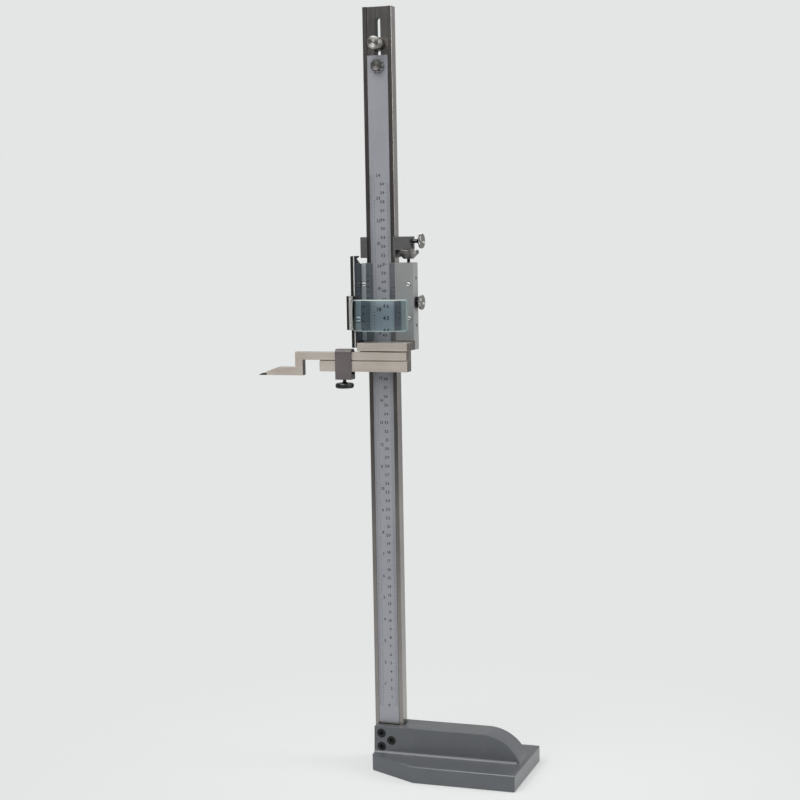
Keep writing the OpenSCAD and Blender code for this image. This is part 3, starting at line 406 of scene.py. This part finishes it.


# Sizes in mm; dark: how many bands of the profile, from the tip on, get the stem's darker finish, painted
# shade;
# inset: how far the head's rim lies inside the ribs; sides: of one rib
usualScrew = {"shadedStemFinish": "turnedBlackSteel", "edge": 0.7, "inset": 0, "sides": 4}
topScrew = usualScrew | {"axis": (0, -1, 0), "stem": 6, "neckFrom": 8, "neckTo": 8, "headThick": 4.6,
                         "dish": 0.25}
sideScrew = usualScrew | {"finish": "turnedGreySteel", "axis": (1, 0, 0), "stem": 4.5, "neckTo": 8.5,
                          "headWide": 16.5, "headThick": 3.6, "dish": 1.6, "dark": 11, "ribs": 40,
                          "ribWide": 0.5}
thumbScrews = {
    "adjuster_clamp_screw": topScrew | {
        "finish": "turnedSteel", "shadedStemFinish": "turnedGreySteel", "tip": (0, 8, 828.5), "stemLength": 14.95,
        "neckLength": 9.45, "headWide": 14, "dark": 6, "ribs": 56, "ribWide": 0.34},
    "scale_clamp_screw": topScrew | {
        "finish": "turnedBrownedSteel", "tip": (0, 8, 804), "stemLength": 15.05, "neckLength": 0.35,
        "headWide": 15.5, "inset": 1.5, "dark": 16, "ribs": 9, "ribWide": 1.7, "sides": 20},
    "slider_clamp_screw": sideScrew | {
        "tip": (19.65, 0, 539.7), "stemLength": 20.9, "neckFrom": 8.5, "neckLength": 2.8},
    "carriage_clamp_screw": sideScrew | {
        "tip": (20.65, 0, 608.5), "stemLength": 20.65, "neckFrom": 4.5, "neckLength": 3},
    "scriber_clamp_screw": usualScrew | {
        "finish": "turnedBlackSteel", "tip": (-38.7, -28.5, 463.05), "axis": (0, 0, -1), "stem": 4,
        "stemLength": 11.55, "neckFrom": 4, "neckTo": 8, "neckLength": 1.6, "headWide": 20.5,
        "headThick": 5.8, "edge": 1.6, "dish": 1.1, "dark": 6, "ribs": 60, "ribWide": 0.45},
}
ribOut = 0.2  # how far ribs stand out of a thumb screw's rim
ribSink = 0.1  # how deep their middles lie in a nut's rim
feedNut = {"finish": "turnedBrownedSteel", "ribFinish": "brownedSteel", "place": (30.5, 0, 588.8),
           "cone": 5.2, "rim": 4.4, "wide": 23, "rounding": 0.6, "bore": 4.1, "journal": 12,
           "journalLength": 6.1, "groove": 9, "grooveFoot": 11.8, "grooveHigh": 2.4, "steps": 120,
           "ribs": 60, "ribWide": 0.36, "ribLength": 3.1, "ribMiddle": 7.4, "sides": 4}
adjusterNut = {"finish": "turnedSteel", "ribFinish": "brightSteel", "place": (6, 13.5, 826), "wide": 10,
               "thick": 5, "rounding": 0.5, "bore": 4.1, "steps": 96, "ribs": 40, "ribWide": 0.3,
               "ribLength": 3.8, "ribMiddle": 2.5, "sides": 4}


def feedNutProfile(v):  # cone, rim, grooved journal and bore
    top = v["cone"] + v["rim"]
    end = top + v["journalLength"]
    low, high = v["grooveFoot"], v["grooveFoot"] + v["grooveHigh"]
    bore, journal, groove = v["bore"] / 2, v["journal"] / 2, v["groove"] / 2
    size = v["rounding"]
    rim = v["wide"] / 2 - size
    return ([(0, bore), (0, v["wide"] / 4), (v["cone"], rim)] + arc(v["cone"] + size, rim, size, -60, 0)
            + arc(top - size, rim, size, 0, 90) + [(top, journal), (low, journal), (low, groove),
            (high, groove), (high, journal), (end, journal), (end, bore)])


def adjusterNutProfile(v):
    size = v["rounding"]
    rim = v["wide"] / 2 - size
    return ([(0, v["bore"] / 2)] + arc(size, rim, size, -90, 0) + arc(v["thick"] - size, rim, size, 0, 90)
            + [(v["thick"], v["bore"] / 2)])


def newTree(name, **inputs):  # an empty node tree with these inputs, and their sockets
    tree = bpy.data.node_groups.new(name, "GeometryNodeTree")
    for each, kind in inputs.items():
        tree.interface.new_socket(name=each, in_out="INPUT", socket_type="NodeSocket" + kind)
    tree.interface.new_socket(name="Geometry", in_out="OUTPUT", socket_type="NodeSocketGeometry")
    return tree, addNode(tree, "NodeGroupInput").outputs


# Straight knurl: ribs on a ring, the ring then turned and moved to its head
def knurlTree():
    tree, given = newTree("knurl", Ribs="Int", Radius="Float", Length="Float", Wide="Float", Sides="Int",
                          Place="Vector", Turn="Vector", Finish="Material")
    ring = addNode(tree, "GeometryNodeMeshCircle", {"Vertices": given["Ribs"], "Radius": given["Radius"]})
    index = addNode(tree, "GeometryNodeInputIndex")
    step = addNode(tree, "ShaderNodeMath", {0: 2 * math.pi, 1: given["Ribs"]}, operation="DIVIDE")
    angle = addNode(tree, "ShaderNodeMath", {0: index, 1: step}, operation="MULTIPLY")
    facing = addNode(tree, "ShaderNodeCombineXYZ", {"Z": angle})
    rib = addNode(tree, "GeometryNodeMeshCylinder", {
        "Vertices": given["Sides"], "Radius": given["Wide"], "Depth": given["Length"]})
    ribs = addNode(tree, "GeometryNodeInstanceOnPoints", {
        "Points": ring, "Instance": rib, "Rotation": facing})
    solid = addNode(tree, "GeometryNodeRealizeInstances", {0: ribs})
    placed = addNode(tree, "GeometryNodeTransform", {
        "Geometry": solid, "Translation": given["Place"], "Rotation": given["Turn"]})
    coloured = addNode(tree, "GeometryNodeSetMaterial", {"Geometry": placed, "Material": given["Finish"]})
    addNode(tree, "NodeGroupOutput", {0: coloured})
    return tree


def grown(name, tree, values):  # runs a node tree with named inputs and returns a plain mesh
    holder = bpy.data.objects.new(name, bpy.data.meshes.new(name + "Start"))
    scene.collection.objects.link(holder)
    modifier = holder.modifiers.new("grow", "NODES")
    modifier.node_group = tree
    for item in tree.interface.items_tree:
        if item.in_out == "INPUT":
            modifier[item.identifier] = values[item.name]
    return baked(holder)


knurl = knurlTree()


def addKnurl(name, v, finish, body, radius, length, middle, axis=upright):  # sizes in mm
    turn = upright.rotation_difference(Vector(axis)).to_euler()
    ribs = grown(name, knurl, {
        "Ribs": v["ribs"], "Radius": radius * mm, "Length": length * mm, "Wide": v["ribWide"] * mm,
        "Sides": v["sides"], "Place": middle * mm, "Turn": turn, "Finish": finishes[finish]})
    keep(name, ribs, finish, body)


knurlFinish = {"turnedSteel": "brightSteel", "turnedGreySteel": "brightSteel",
               "turnedBrownedSteel": "greyedSteel", "turnedBlackSteel": "blackenedSteelAndShade"}
for node, v in thumbScrews.items():
    screw = turned(node + "Turned", thumbProfile(v), v["tip"], v["axis"], v["finish"], v["shadedStemFinish"],
                   v["dark"])
    keep(node + "Turned", screw, v["finish"], bodyOf[node], node)
    reach = v["stemLength"] + v["neckLength"] + v["headThick"] / 2
    addKnurl(node + "Knurl", v, knurlFinish[v["finish"]], bodyOf[node],
             v["headWide"] / 2 + ribOut - v["ribWide"], v["headThick"] - 2 * v["edge"],
             Vector(v["tip"]) + Vector(v["axis"]) * reach, v["axis"])

for name, node, v, profile in (("feedNut", "feed_nut", feedNut, feedNutProfile),
                               ("adjusterNut", "adjuster_nut", adjusterNut, adjusterNutProfile)):
    nut = turned(name + "Turned", profile(v), v["place"], upright, v["finish"], steps=v["steps"])
    keep(name + "Turned", nut, v["finish"], bodyOf[node], node)
    addKnurl(name + "Knurl", v, v["ribFinish"], bodyOf[node], v["wide"] / 2 - ribSink, v["ribLength"],
             Vector(v["place"]) + upright * v["ribMiddle"])
print("turned pieces and knurls made")


# Threaded rods: the surface follows a helix of a V thread
rods = {
    "feed_screw": {"foot": (30.5, 0, 571), "high": 29.5, "wide": 4, "pitch": 1.0, "deep": 0.45,
                   "finish": "blackenedSteelAndShade"},
    "adjuster_stud": {"foot": (6, 13.5, 806.75), "high": 29.75, "wide": 4, "pitch": 0.75, "deep": 0.35,
                      "finish": "brightSteel"},
}


def threaded(name, v, steps=28, perTurn=6):
    bm = bmesh.new()
    levels = int(v["high"] / v["pitch"] * perTurn)
    rings = [[bm.verts.new((0, 0, 0))]]
    for k in range(levels + 1):
        z = v["high"] * k / levels
        ring = []
        for i in range(steps):
            turns = z / v["pitch"] - i / steps
            wave = abs(2 * (turns - math.floor(turns)) - 1)
            radius = v["wide"] / 2 - v["deep"] * wave
            angle = 2 * math.pi * i / steps
            ring.append(bm.verts.new((radius * math.cos(angle), radius * math.sin(angle), z)))
        rings.append(ring)
    rings.append([bm.verts.new((0, 0, v["high"]))])
    for low, up in zip(rings, rings[1:]):
        for i in range(steps):
            j = (i + 1) % steps
            corners = [low[i % len(low)], low[j % len(low)], up[j % len(up)], up[i % len(up)]]
            bm.faces.new(list(dict.fromkeys(corners)))
    bmesh.ops.recalc_face_normals(bm, faces=bm.faces)
    bm.transform(Matrix.Translation(Vector(v["foot"]) * mm) @ Matrix.Scale(mm, 4))
    return meshFrom(name, bm)


for node, v in rods.items():
    keep(node + "Thread", threaded(node + "Thread", v), v["finish"], bodyOf[node], node)

# Slotted screw head with a radius of 1: wall and flat are shares of its height and radius, gap is the outer
# radius of the dark ring round it, a painted shadow where head meets seat
screwHead = {"high": 0.46, "wall": 0.55, "flat": 0.8, "slotWide": 0.36, "slotDeep": 0.3, "slotReach": 0.95,
             "gap": 1.2, "gapHigh": 0.03, "steps": 24}


def slottedHead(v):
    bm = bmesh.new()
    # faces marked here are drawn dark: painted shade in the slot and a painted shadow ring round the head
    isShaded = bm.faces.layers.bool.new("slot")
    steps, high, flat, halfSlot = v["steps"], v["high"], v["flat"], v["slotWide"] / 2
    start = math.asin(halfSlot)
    for side, way in ((0, 1), (math.pi, -1)):  # two half domes with the slot between them
        angles = [side + start + (math.pi - 2 * start) * i / steps for i in range(steps + 1)]
        low, wall = ([bm.verts.new((math.cos(a), math.sin(a), h)) for a in angles]
                     for h in (0, high * v["wall"]))
        top = [bm.verts.new((flat * math.cos(a), way * max(halfSlot, flat * abs(math.sin(a))), high))
               for a in angles]
        bm.faces.new(top)
        bm.faces.new(low)
        for a, b in ((low, wall), (wall, top)):
            for i in range(steps):
                bm.faces.new((a[i], a[i + 1], b[i + 1], b[i]))
        bm.faces.new((low[0], wall[0], top[0], top[-1], wall[-1], low[-1]))[isShaded] = True
    around = [math.pi * i / steps for i in range(2 * steps)]
    rings = [[bm.verts.new((r * math.cos(a), r * math.sin(a), h)) for a in around]
             for r, h in ((1, 0), (v["gap"], 0), (v["gap"], v["gapHigh"]), (1, v["gapHigh"]))]
    # this ring is drawn dark: a painted shadow between head and seat
    for a, b in zip(rings, rings[1:] + rings[:1]):  # the dark gap between head and seat
        for i in range(2 * steps):
            bm.faces.new((a[i - 1], a[i], b[i], b[i - 1]))[isShaded] = True
    bottom = [bm.verts.new((x * v["slotReach"], y * v["slotWide"], high - v["slotDeep"]))
              for x, y in ((-1, -1), (1, -1), (1, 1), (-1, 1))]
    bm.faces.new(bottom)[isShaded] = True
    bmesh.ops.recalc_face_normals(bm, faces=bm.faces)
    return meshFrom("slottedHead", bm)


# Screw heads, one mesh copied along a row
def screwTree():
    tree, given = newTree("screwRow", Head="Object", Count="Int", Upper="Vector", Step="Vector",
                          Turn="Vector", Scale="Float", Finish="Material", SlotFinish="Material")
    row = addNode(tree, "GeometryNodeMeshLine", {
        "Count": given["Count"], "Start Location": given["Upper"], "Offset": given["Step"]})
    head = addNode(tree, "GeometryNodeObjectInfo", {"Object": given["Head"]})
    screws = addNode(tree, "GeometryNodeInstanceOnPoints", {
        "Points": row, "Instance": head.outputs["Geometry"], "Rotation": given["Turn"],
        "Scale": given["Scale"]})
    solid = addNode(tree, "GeometryNodeRealizeInstances", {0: screws})
    coloured = addNode(tree, "GeometryNodeSetMaterial", {"Geometry": solid, "Material": given["Finish"]})
    # the marked faces get the dark finish: painted shade in the slot and round the head
    isShaded = addNode(tree, "GeometryNodeInputNamedAttribute", {"Name": "slot"}, data_type="BOOLEAN")
    darkened = addNode(tree, "GeometryNodeSetMaterial", {
        "Geometry": coloured, "Selection": isShaded, "Material": given["SlotFinish"]})
    addNode(tree, "NodeGroupOutput", {0: darkened})
    return tree


# Upper screw of each row, the step to the next one and the head's radius in mm; turn: its way in degrees
usualRow = {"count": 2, "step": (0, 0, -38), "radius": 2.6, "body": "slider", "finish": "screwSteel",
            "replaces": []}
screwRows = {
    # the left heads are drawn white: painted light
    "leftFaceScrews": {"upper": (-19.9, -10, 560.5), "turn": (90, 0, 0), "finish": "litScrewSteel",
                       "replaces": ["vernier_screws"]},
    "rightFaceScrews": {"upper": (33, -10, 560.5), "turn": (90, 25, 0)},
    "bracketScrews": {"upper": (-27.1, -1, 574.5), "step": (0, 0, -64), "turn": (0, -90, 0),
                      "replaces": ["bracket_screws"]},
    "stripScrews": {"upper": (-25.45, -40.6, 544), "step": (0, 0, -29), "turn": (90, 0, 0), "radius": 1.6,
                    "body": "lens_carrier", "replaces": ["lens_screws"]},
}
headSource = bpy.data.objects.new("headSource", slottedHead(screwHead))
scene.collection.objects.link(headSource)
screwRow = screwTree()
for name, values in screwRows.items():
    v = usualRow | values
    heads = grown(name, screwRow, {
        "Head": headSource, "Count": v["count"], "Upper": Vector(v["upper"]) * mm,
        "Step": Vector(v["step"]) * mm, "Turn": Vector([math.radians(a) for a in v["turn"]]),
        "Scale": v["radius"] * mm, "Finish": finishes[v["finish"]], "SlotFinish": finishes["engravedAndShadeBlack"]})
    keep(name, heads, v["finish"], v["body"], *v["replaces"])
bpy.data.objects.remove(headSource)
print("threads and screws made")


# Graduations: one row of bars; every few bars are longer
def tickTree():
    tree, given = newTree("tickRow", Count="Int", First="Vector", Spacing="Float", Short="Float",
                          Middle="Float", Long="Float", MiddleEvery="Float", LongEvery="Float", Slant="Float",
                          Wide="Float", Deep="Float", Finish="Material")
    step = addNode(tree, "ShaderNodeCombineXYZ", {"Z": given["Spacing"]})
    row = addNode(tree, "GeometryNodeMeshLine", {
        "Count": given["Count"], "Start Location": given["First"], "Offset": step})
    index = addNode(tree, "GeometryNodeInputIndex")
    reach = given["Short"]
    for every, longer, shorter in (("MiddleEvery", "Middle", "Short"), ("LongEvery", "Long", "Middle")):
        rest = addNode(tree, "ShaderNodeMath", {0: index, 1: given[every]}, operation="MODULO")
        hit = addNode(tree, "ShaderNodeMath", {0: rest, 1: 0.5}, operation="LESS_THAN")
        more = addNode(tree, "ShaderNodeMath", {0: given[longer], 1: given[shorter]}, operation="SUBTRACT")
        reach = addNode(tree, "ShaderNodeMath", {0: hit, 1: more, 2: reach}, operation="MULTIPLY_ADD")
    size = addNode(tree, "ShaderNodeCombineXYZ", {"X": reach, "Y": given["Deep"], "Z": given["Wide"]})
    turn = addNode(tree, "ShaderNodeCombineXYZ", {"Z": given["Slant"]})
    bar = addNode(tree, "GeometryNodeMeshCube", {"Size": (1, 1, 1)})  # then moved, to start at its end
    ended = addNode(tree, "GeometryNodeTransform", {"Geometry": bar, "Translation": (0.5, 0, 0)})
    bars = addNode(tree, "GeometryNodeInstanceOnPoints", {
        "Points": row, "Instance": ended, "Rotation": turn, "Scale": size})
    solid = addNode(tree, "GeometryNodeRealizeInstances", {0: bars})
    coloured = addNode(tree, "GeometryNodeSetMaterial", {"Geometry": solid, "Material": given["Finish"]})
    addNode(tree, "NodeGroupOutput", {0: coloured})
    return tree


inch = 25.4
scaleFace = -7.0  # front of the scale
scaleZero = 73.0  # height of its zero line
vernierZero = 508.0  # height of the verniers' zero line: the gauge reads 435 mm
metricVernier = 49.0  # lengths of the verniers, in 50 parts
inchVernier = 2.45 * inch
bevelRun, bevelRise = 7.4, 2.6  # slope of the vernier plates' bevels
bevelSlant = math.degrees(math.atan2(bevelRise, bevelRun))
tickDeep = 0.04
# Lengths of short, middle and long lines in mm, and how often the longer ones come
usualTicks = {"count": 51, "lengths": (2.6, 3.6, 4.4), "every": (5, 10), "wide": 0.16, "body": "slider"}
tickRows = {
    "millimetreLines": {"count": 601, "first": (11.9, scaleFace, scaleZero), "spacing": 1.0,
                        "lengths": (3.4, 4.6, 6.0), "slant": 180, "body": "main_scale"},
    "inchLines": {"count": 961, "first": (-11.9, scaleFace, scaleZero), "spacing": inch / 40, "slant": 0,
                  "lengths": (2.8, 4.2, 5.8), "every": (4, 40), "wide": 0.13, "body": "main_scale"},
    "millimetreVernierLines": {"first": (10.05, -7.42, vernierZero), "spacing": metricVernier / 50,
                               "slant": -bevelSlant},
    "inchVernierLines": {"first": (-10.05, -7.42, vernierZero), "spacing": inchVernier / 50,
                         "slant": 180 + bevelSlant},
}
tickRow = tickTree()
for name, values in tickRows.items():
    v = usualTicks | values
    short, middle, long = v["lengths"]
    lines = grown(name, tickRow, {
        "Count": v["count"], "First": Vector(v["first"]) * mm, "Spacing": v["spacing"] * mm,
        "Short": short * mm, "Middle": middle * mm, "Long": long * mm, "MiddleEvery": float(v["every"][0]),
        "LongEvery": float(v["every"][1]), "Slant": math.radians(v["slant"]), "Wide": v["wide"] * mm,
        "Deep": tickDeep * mm, "Finish": finishes["engravedAndShadeBlack"]})
    keep(name, lines, "engravedAndShadeBlack", v["body"])
print("graduations made")


def digitShapes():  # outline of each figure, one unit high, with a front and a back
    shapes = {}
    for figure in "0123456789":
        curve = bpy.data.curves.new("figure", "FONT")
        curve.body = figure
        curve.extrude = 0.01  # only tells the front from the back
        curve.offset = 0.03  # bolder strokes
        curve.resolution_u = 3
        holder = bpy.data.objects.new("figure", curve)
        scene.collection.objects.link(holder)
        mesh = baked(holder)
        points = [p.co.copy() for p in mesh.vertices]
        left, right = min(p.x for p in points), max(p.x for p in points)
        low, high = min(p.y for p in points), max(p.y for p in points)
        size = high - low
        shapes[figure] = ([((p.x - left) / size, (p.y - low) / size - 0.5, p.z > 0) for p in points],
                          [tuple(f.vertices) for f in mesh.polygons], (right - left) / size)
        bpy.data.curves.remove(curve)
        bpy.data.meshes.remove(mesh)
    return shapes


figures = digitShapes()
figureDeep = 0.02  # how far figures stand out and go in
toRight = Vector((bevelRun, -bevelRise, 0)).normalized()  # across the right bevel
toLeft = Vector((-toRight.x, toRight.y, 0))  # across the left bevel
onBevel = 5.9  # the figures' place across a bevel
# labels: (text, point in mm); align: how much of the text's width lies before that point; gap: room between
# figures; along and out: the ways a text runs and faces
usualNumbers = {"along": (1, 0, 0), "out": (0, -1, 0), "align": 0.5, "gap": 0.18, "body": "main_scale"}
numberRows = {
    "centimetreNumbers": {"labels": [("0", (1.0, scaleFace, scaleZero))]
                          + [(str(n), (4.1, scaleFace, scaleZero + 10 * n)) for n in range(1, 61)],
                          "high": 3.4, "align": 0.75, "gap": 0.2},
    "inchNumbers": {"labels": [(str(n), (-4.4, scaleFace, scaleZero + inch * n)) for n in range(1, 25)],
                    "high": 3.4, "align": 0.0},
    "inchTenthNumbers": {"labels": [(str(t), (-6.6, scaleFace, scaleZero + inch * (n + t / 10)))
                                    for n in range(24) for t in range(1, 10)],
                         "high": 1.3},
    "millimetreVernierNumbers": {"labels": [(str(n), Vector((10, -7.4, vernierZero + metricVernier / 10 * n))
                                             + toRight * onBevel) for n in range(11)],
                                 "high": 1.9, "along": toRight, "out": (-bevelRise, -bevelRun, 0),
                                 "body": "slider"},
    "inchVernierNumbers": {"labels": [(str(5 * n), Vector((-10, -7.4, vernierZero + inchVernier / 10 * n))
                                       + toLeft * onBevel) for n in range(11)],
                           "high": 1.9, "along": -toLeft, "out": (bevelRise, -bevelRun, 0), "body": "slider"},
}


def numberMesh(name, v):
    along, out = Vector(v["along"]).normalized(), Vector(v["out"]).normalized()
    points, faces = [], []
    for text, anchor in v["labels"]:
        spread = sum(figures[c][2] for c in text) + v["gap"] * (len(text) - 1)
        pen = -spread * v["align"]
        for c in text:
            shape, sides, wide = figures[c]
            first = len(points)
            for x, y, front in shape:
                spot = (Vector(anchor) + along * ((pen + x) * v["high"]) + upright * (y * v["high"])
                        + out * (figureDeep if front else -figureDeep))
                points.append(spot * mm)
            faces += [tuple(first + i for i in side) for side in sides]
            pen += wide + v["gap"]
    mesh = bpy.data.meshes.new(name)
    mesh.from_pydata(points, [], faces)
    return mesh


for name, values in numberRows.items():
    v = usualNumbers | values
    keep(name, numberMesh(name, v), "engravedAndShadeBlack", v["body"])
print("numbers made")


# Magnifier: rounded plate, flat at the back, spherical in front, with a ground chamfer round the front
lensShape = {"left": -23.4, "right": 41.4, "foot": 509.5, "top": 544.5, "back": -38.0, "edge": 2.4,
             "radius": 75.0, "corner": 3.0, "chamfer": 0.8, "rings": 26, "cornerSteps": 8, "sideSteps": 24,
             "fold": 20}


def lensOutline(v, inset):  # rounded rectangle; its straight sides have steps too, for an even curve
    halfWide, halfHigh = (v["right"] - v["left"]) / 2 - inset, (v["top"] - v["foot"]) / 2 - inset
    r = v["corner"] - inset
    corners = []
    for sx, sz, start in ((1, 1, 0), (-1, 1, 90), (-1, -1, 180), (1, -1, 270)):
        for i in range(v["cornerSteps"] + 1):
            a = math.radians(start + 90 * i / v["cornerSteps"])
            corners.append((sx * (halfWide - r) + r * math.cos(a), sz * (halfHigh - r) + r * math.sin(a)))
    full = []
    for p, q in zip(corners, corners[1:] + corners[:1]):
        steps = v["sideSteps"] if math.dist(p, q) > v["corner"] else 1
        full += [(p[0] + (q[0] - p[0]) * k / steps, p[1] + (q[1] - p[1]) * k / steps) for k in range(steps)]
    return full


def lensMesh(name, v):
    middle = ((v["left"] + v["right"]) / 2, (v["foot"] + v["top"]) / 2)
    reach = math.hypot(v["right"] - v["left"], v["top"] - v["foot"]) / 2
    crown = v["back"] - v["edge"] - v["radius"] + math.sqrt(v["radius"] ** 2 - reach ** 2)
    outer, inner = lensOutline(v, 0.0), lensOutline(v, v["chamfer"])
    bm = bmesh.new()

    def spot(x, y, z):
        return bm.verts.new(((middle[0] + x) * mm, y * mm, (middle[1] + z) * mm))

    def dome(x, z):
        return crown + v["radius"] - math.sqrt(v["radius"] ** 2 - x * x - z * z)
    shares = [(k + 1) / v["rings"] for k in range(v["rings"])]
    rings = [[spot(x * t, dome(x * t, z * t), z * t) for x, z in inner] for t in shares]
    rings.append([spot(x, dome(x, z) + v["chamfer"], z) for x, z in outer])
    rings.append([spot(x, v["back"], z) for x, z in outer])
    tip = spot(0, crown, 0)
    count = len(outer)
    for i in range(count):
        j = (i + 1) % count
        bm.faces.new((tip, rings[0][i], rings[0][j]))
        for k, (low, high) in enumerate(zip(rings, rings[1:])):
            bm.faces.new((low[i], high[i], high[j], low[j])).material_index = int(k >= v["rings"] - 1)
    bm.faces.new(rings[-1])
    bmesh.ops.recalc_face_normals(bm, faces=bm.faces)
    for face in bm.faces:
        # the free end of the rim gets a darker finish: painted shade
        if face.material_index == 1 and face.normal.x > 0.5:
            face.material_index = 2  # the free end
    return smooth(meshFrom(name, bm, "opticalGlass", "groundGlassRim", "shadedGlassRim"), v["fold"])


keep("lensGlass", lensMesh("lensGlass", lensShape), "opticalGlass", bodyOf["lens"], "lens")
print("lens made")


# Floor, backdrop and light: a pale sweep behind and below, a dimmer room in front with one broad soft window;
# lamps: name, place, size and power
studio = {"backdrop": "#e4e6e5", "floor": "#dcdedd", "room": 0.15, "sweep": 0.62, "sweepSpan": (-0.45, 0.15),
          "window": 3.6, "windowWay": (-0.14, -0.69, 0.72), "windowSpan": (0.8, 0.95), "aim": (0, 0, 0.45),
          "lamps": [("overheadLamp", (-0.9, -0.9, 2.7), 1.3, 20), ("frontLamp", (2.2, -1.3, 1.2), 1.2, 9),
                    ("sideLamp", (2.6, 0.3, 1.3), 1.2, 34)]}
# The floor keeps its shadow near the part and fades to the backdrop; away from it, what metal mirrors dims
floorLook = {"half": 8, "height": -0.0002, "middle": (0.06, 0, 0), "fadeSpan": (0.12, 0.5),
             "fade": (0.5, 1.0), "frontSpan": (-2.8, -0.4), "front": (0.15, 1.0), "backSpan": (0.4, 2.8),
             "back": (1.0, 0.55)}


def studioWorld(v):
    world = bpy.data.worlds.new("studio")
    world.use_nodes = True
    tree = world.node_tree
    tree.nodes.clear()
    way = addNode(tree, "ShaderNodeTexCoord").outputs["Generated"]
    depth = addNode(tree, "ShaderNodeSeparateXYZ", {0: way}).outputs["Y"]
    sweep = addNode(tree, "ShaderNodeMapRange", {
        "Value": depth, "From Min": v["sweepSpan"][0], "From Max": v["sweepSpan"][1], "To Min": v["room"],
        "To Max": v["sweep"]})
    facing = addNode(tree, "ShaderNodeVectorMath", {
        0: way, 1: Vector(v["windowWay"]).normalized()}, operation="DOT_PRODUCT")
    window = addNode(tree, "ShaderNodeMapRange", {
        "Value": facing.outputs["Value"], "From Min": v["windowSpan"][0], "From Max": v["windowSpan"][1],
        "To Min": 0.0, "To Max": v["window"]})
    strength = addNode(tree, "ShaderNodeMath", {0: sweep, 1: window}, operation="ADD")
    lighting = addNode(tree, "ShaderNodeBackground", {"Color": linear(v["backdrop"]), "Strength": strength})
    backdrop = addNode(tree, "ShaderNodeBackground", {"Color": linear(v["backdrop"]), "Strength": 1.0})
    direct = addNode(tree, "ShaderNodeLightPath").outputs["Is Camera Ray"]
    mixed = addNode(tree, "ShaderNodeMixShader", {0: direct, 1: lighting, 2: backdrop})
    addNode(tree, "ShaderNodeOutputWorld", {"Surface": mixed})
    return world


def paleFloor(v):
    material, tree = newMaterial("paleFloor")
    place = addNode(tree, "ShaderNodeTexCoord").outputs["Object"]
    path = addNode(tree, "ShaderNodeLightPath").outputs
    seen = path["Is Camera Ray"]  # rays that see the floor itself, not its light
    for ray in ("Is Glossy Ray", "Is Transmission Ray"):
        seen = addNode(tree, "ShaderNodeMath", {0: seen, 1: path[ray]}, operation="MAXIMUM")
    distance = addNode(tree, "ShaderNodeVectorMath", {0: place, 1: v["middle"]}, operation="DISTANCE")
    depth = addNode(tree, "ShaderNodeSeparateXYZ", {0: place}).outputs["Y"]
    fade, front, back = (addNode(tree, "ShaderNodeMapRange", {
        "Value": value, "From Min": v[part + "Span"][0], "From Max": v[part + "Span"][1],
        "To Min": v[part][0], "To Max": v[part][1]})
        for part, value in (("fade", distance.outputs["Value"]), ("front", depth), ("back", depth)))
    share = addNode(tree, "ShaderNodeMath", {0: seen, 1: fade}, operation="MULTIPLY")
    dimmed = addNode(tree, "ShaderNodeMath", {0: front, 1: back}, operation="MINIMUM")
    strength = addNode(tree, "ShaderNodeMath", {0: dimmed, 1: path["Is Camera Ray"]}, operation="MAXIMUM")
    matt = addNode(tree, "ShaderNodeBsdfDiffuse", {"Color": linear(studio["floor"])})
    glow = addNode(tree, "ShaderNodeEmission", {"Color": linear(studio["backdrop"]), "Strength": strength})
    mixed = addNode(tree, "ShaderNodeMixShader", {0: share, 1: matt, 2: glow})
    addNode(tree, "ShaderNodeOutputMaterial", {"Surface": mixed})
    return material


scene.world = studioWorld(studio)
half, height = floorLook["half"], floorLook["height"]
floorMesh = bpy.data.meshes.new("floor")
floorMesh.from_pydata([(x * half, y * half, height) for x, y in ((-1, -1), (1, -1), (1, 1), (-1, 1))], [],
                      [(0, 1, 2, 3)])
floorMesh.materials.append(paleFloor(floorLook))
floor = bpy.data.objects.new("floor", floorMesh)
scene.collection.objects.link(floor)

for name, spot, size, power in studio["lamps"]:
    lamp = bpy.data.lights.new(name, "AREA")
    lamp.size = size
    lamp.energy = power
    holder = bpy.data.objects.new(name, lamp)
    scene.collection.objects.link(holder)
    holder.location = spot
    holder.rotation_euler = (Vector(studio["aim"]) - Vector(spot)).to_track_quat("-Z", "Y").to_euler()

# Place in metres, angles in degrees, focal length in pixels of a picture 800 wide, sensor in mm
view = {"place": (0.63376, -1.81223, 0.62735), "turn": 18.783, "dip": 5.9317, "roll": -0.988,
        "focal": 1689.2, "pixels": 800, "sensor": 36}
camera = bpy.data.cameras.new("camera")
camera.sensor_width = view["sensor"]
camera.lens = view["focal"] * view["sensor"] / view["pixels"]
turn, dip, roll = (math.radians(view[k]) for k in ("turn", "dip", "roll"))
ahead = Vector((-math.sin(turn) * math.cos(dip), math.cos(turn) * math.cos(dip), -math.sin(dip)))
level = Vector((math.cos(turn), math.sin(turn), 0))
above = level.cross(ahead)
right = math.cos(roll) * level + math.sin(roll) * above
up = -math.sin(roll) * level + math.cos(roll) * above
eye = bpy.data.objects.new("camera", camera)
scene.collection.objects.link(eye)
eye.matrix_world = Matrix.Translation(view["place"]) @ Matrix((right, up, -ahead)).transposed().to_4x4()
scene.camera = eye
print("studio set")
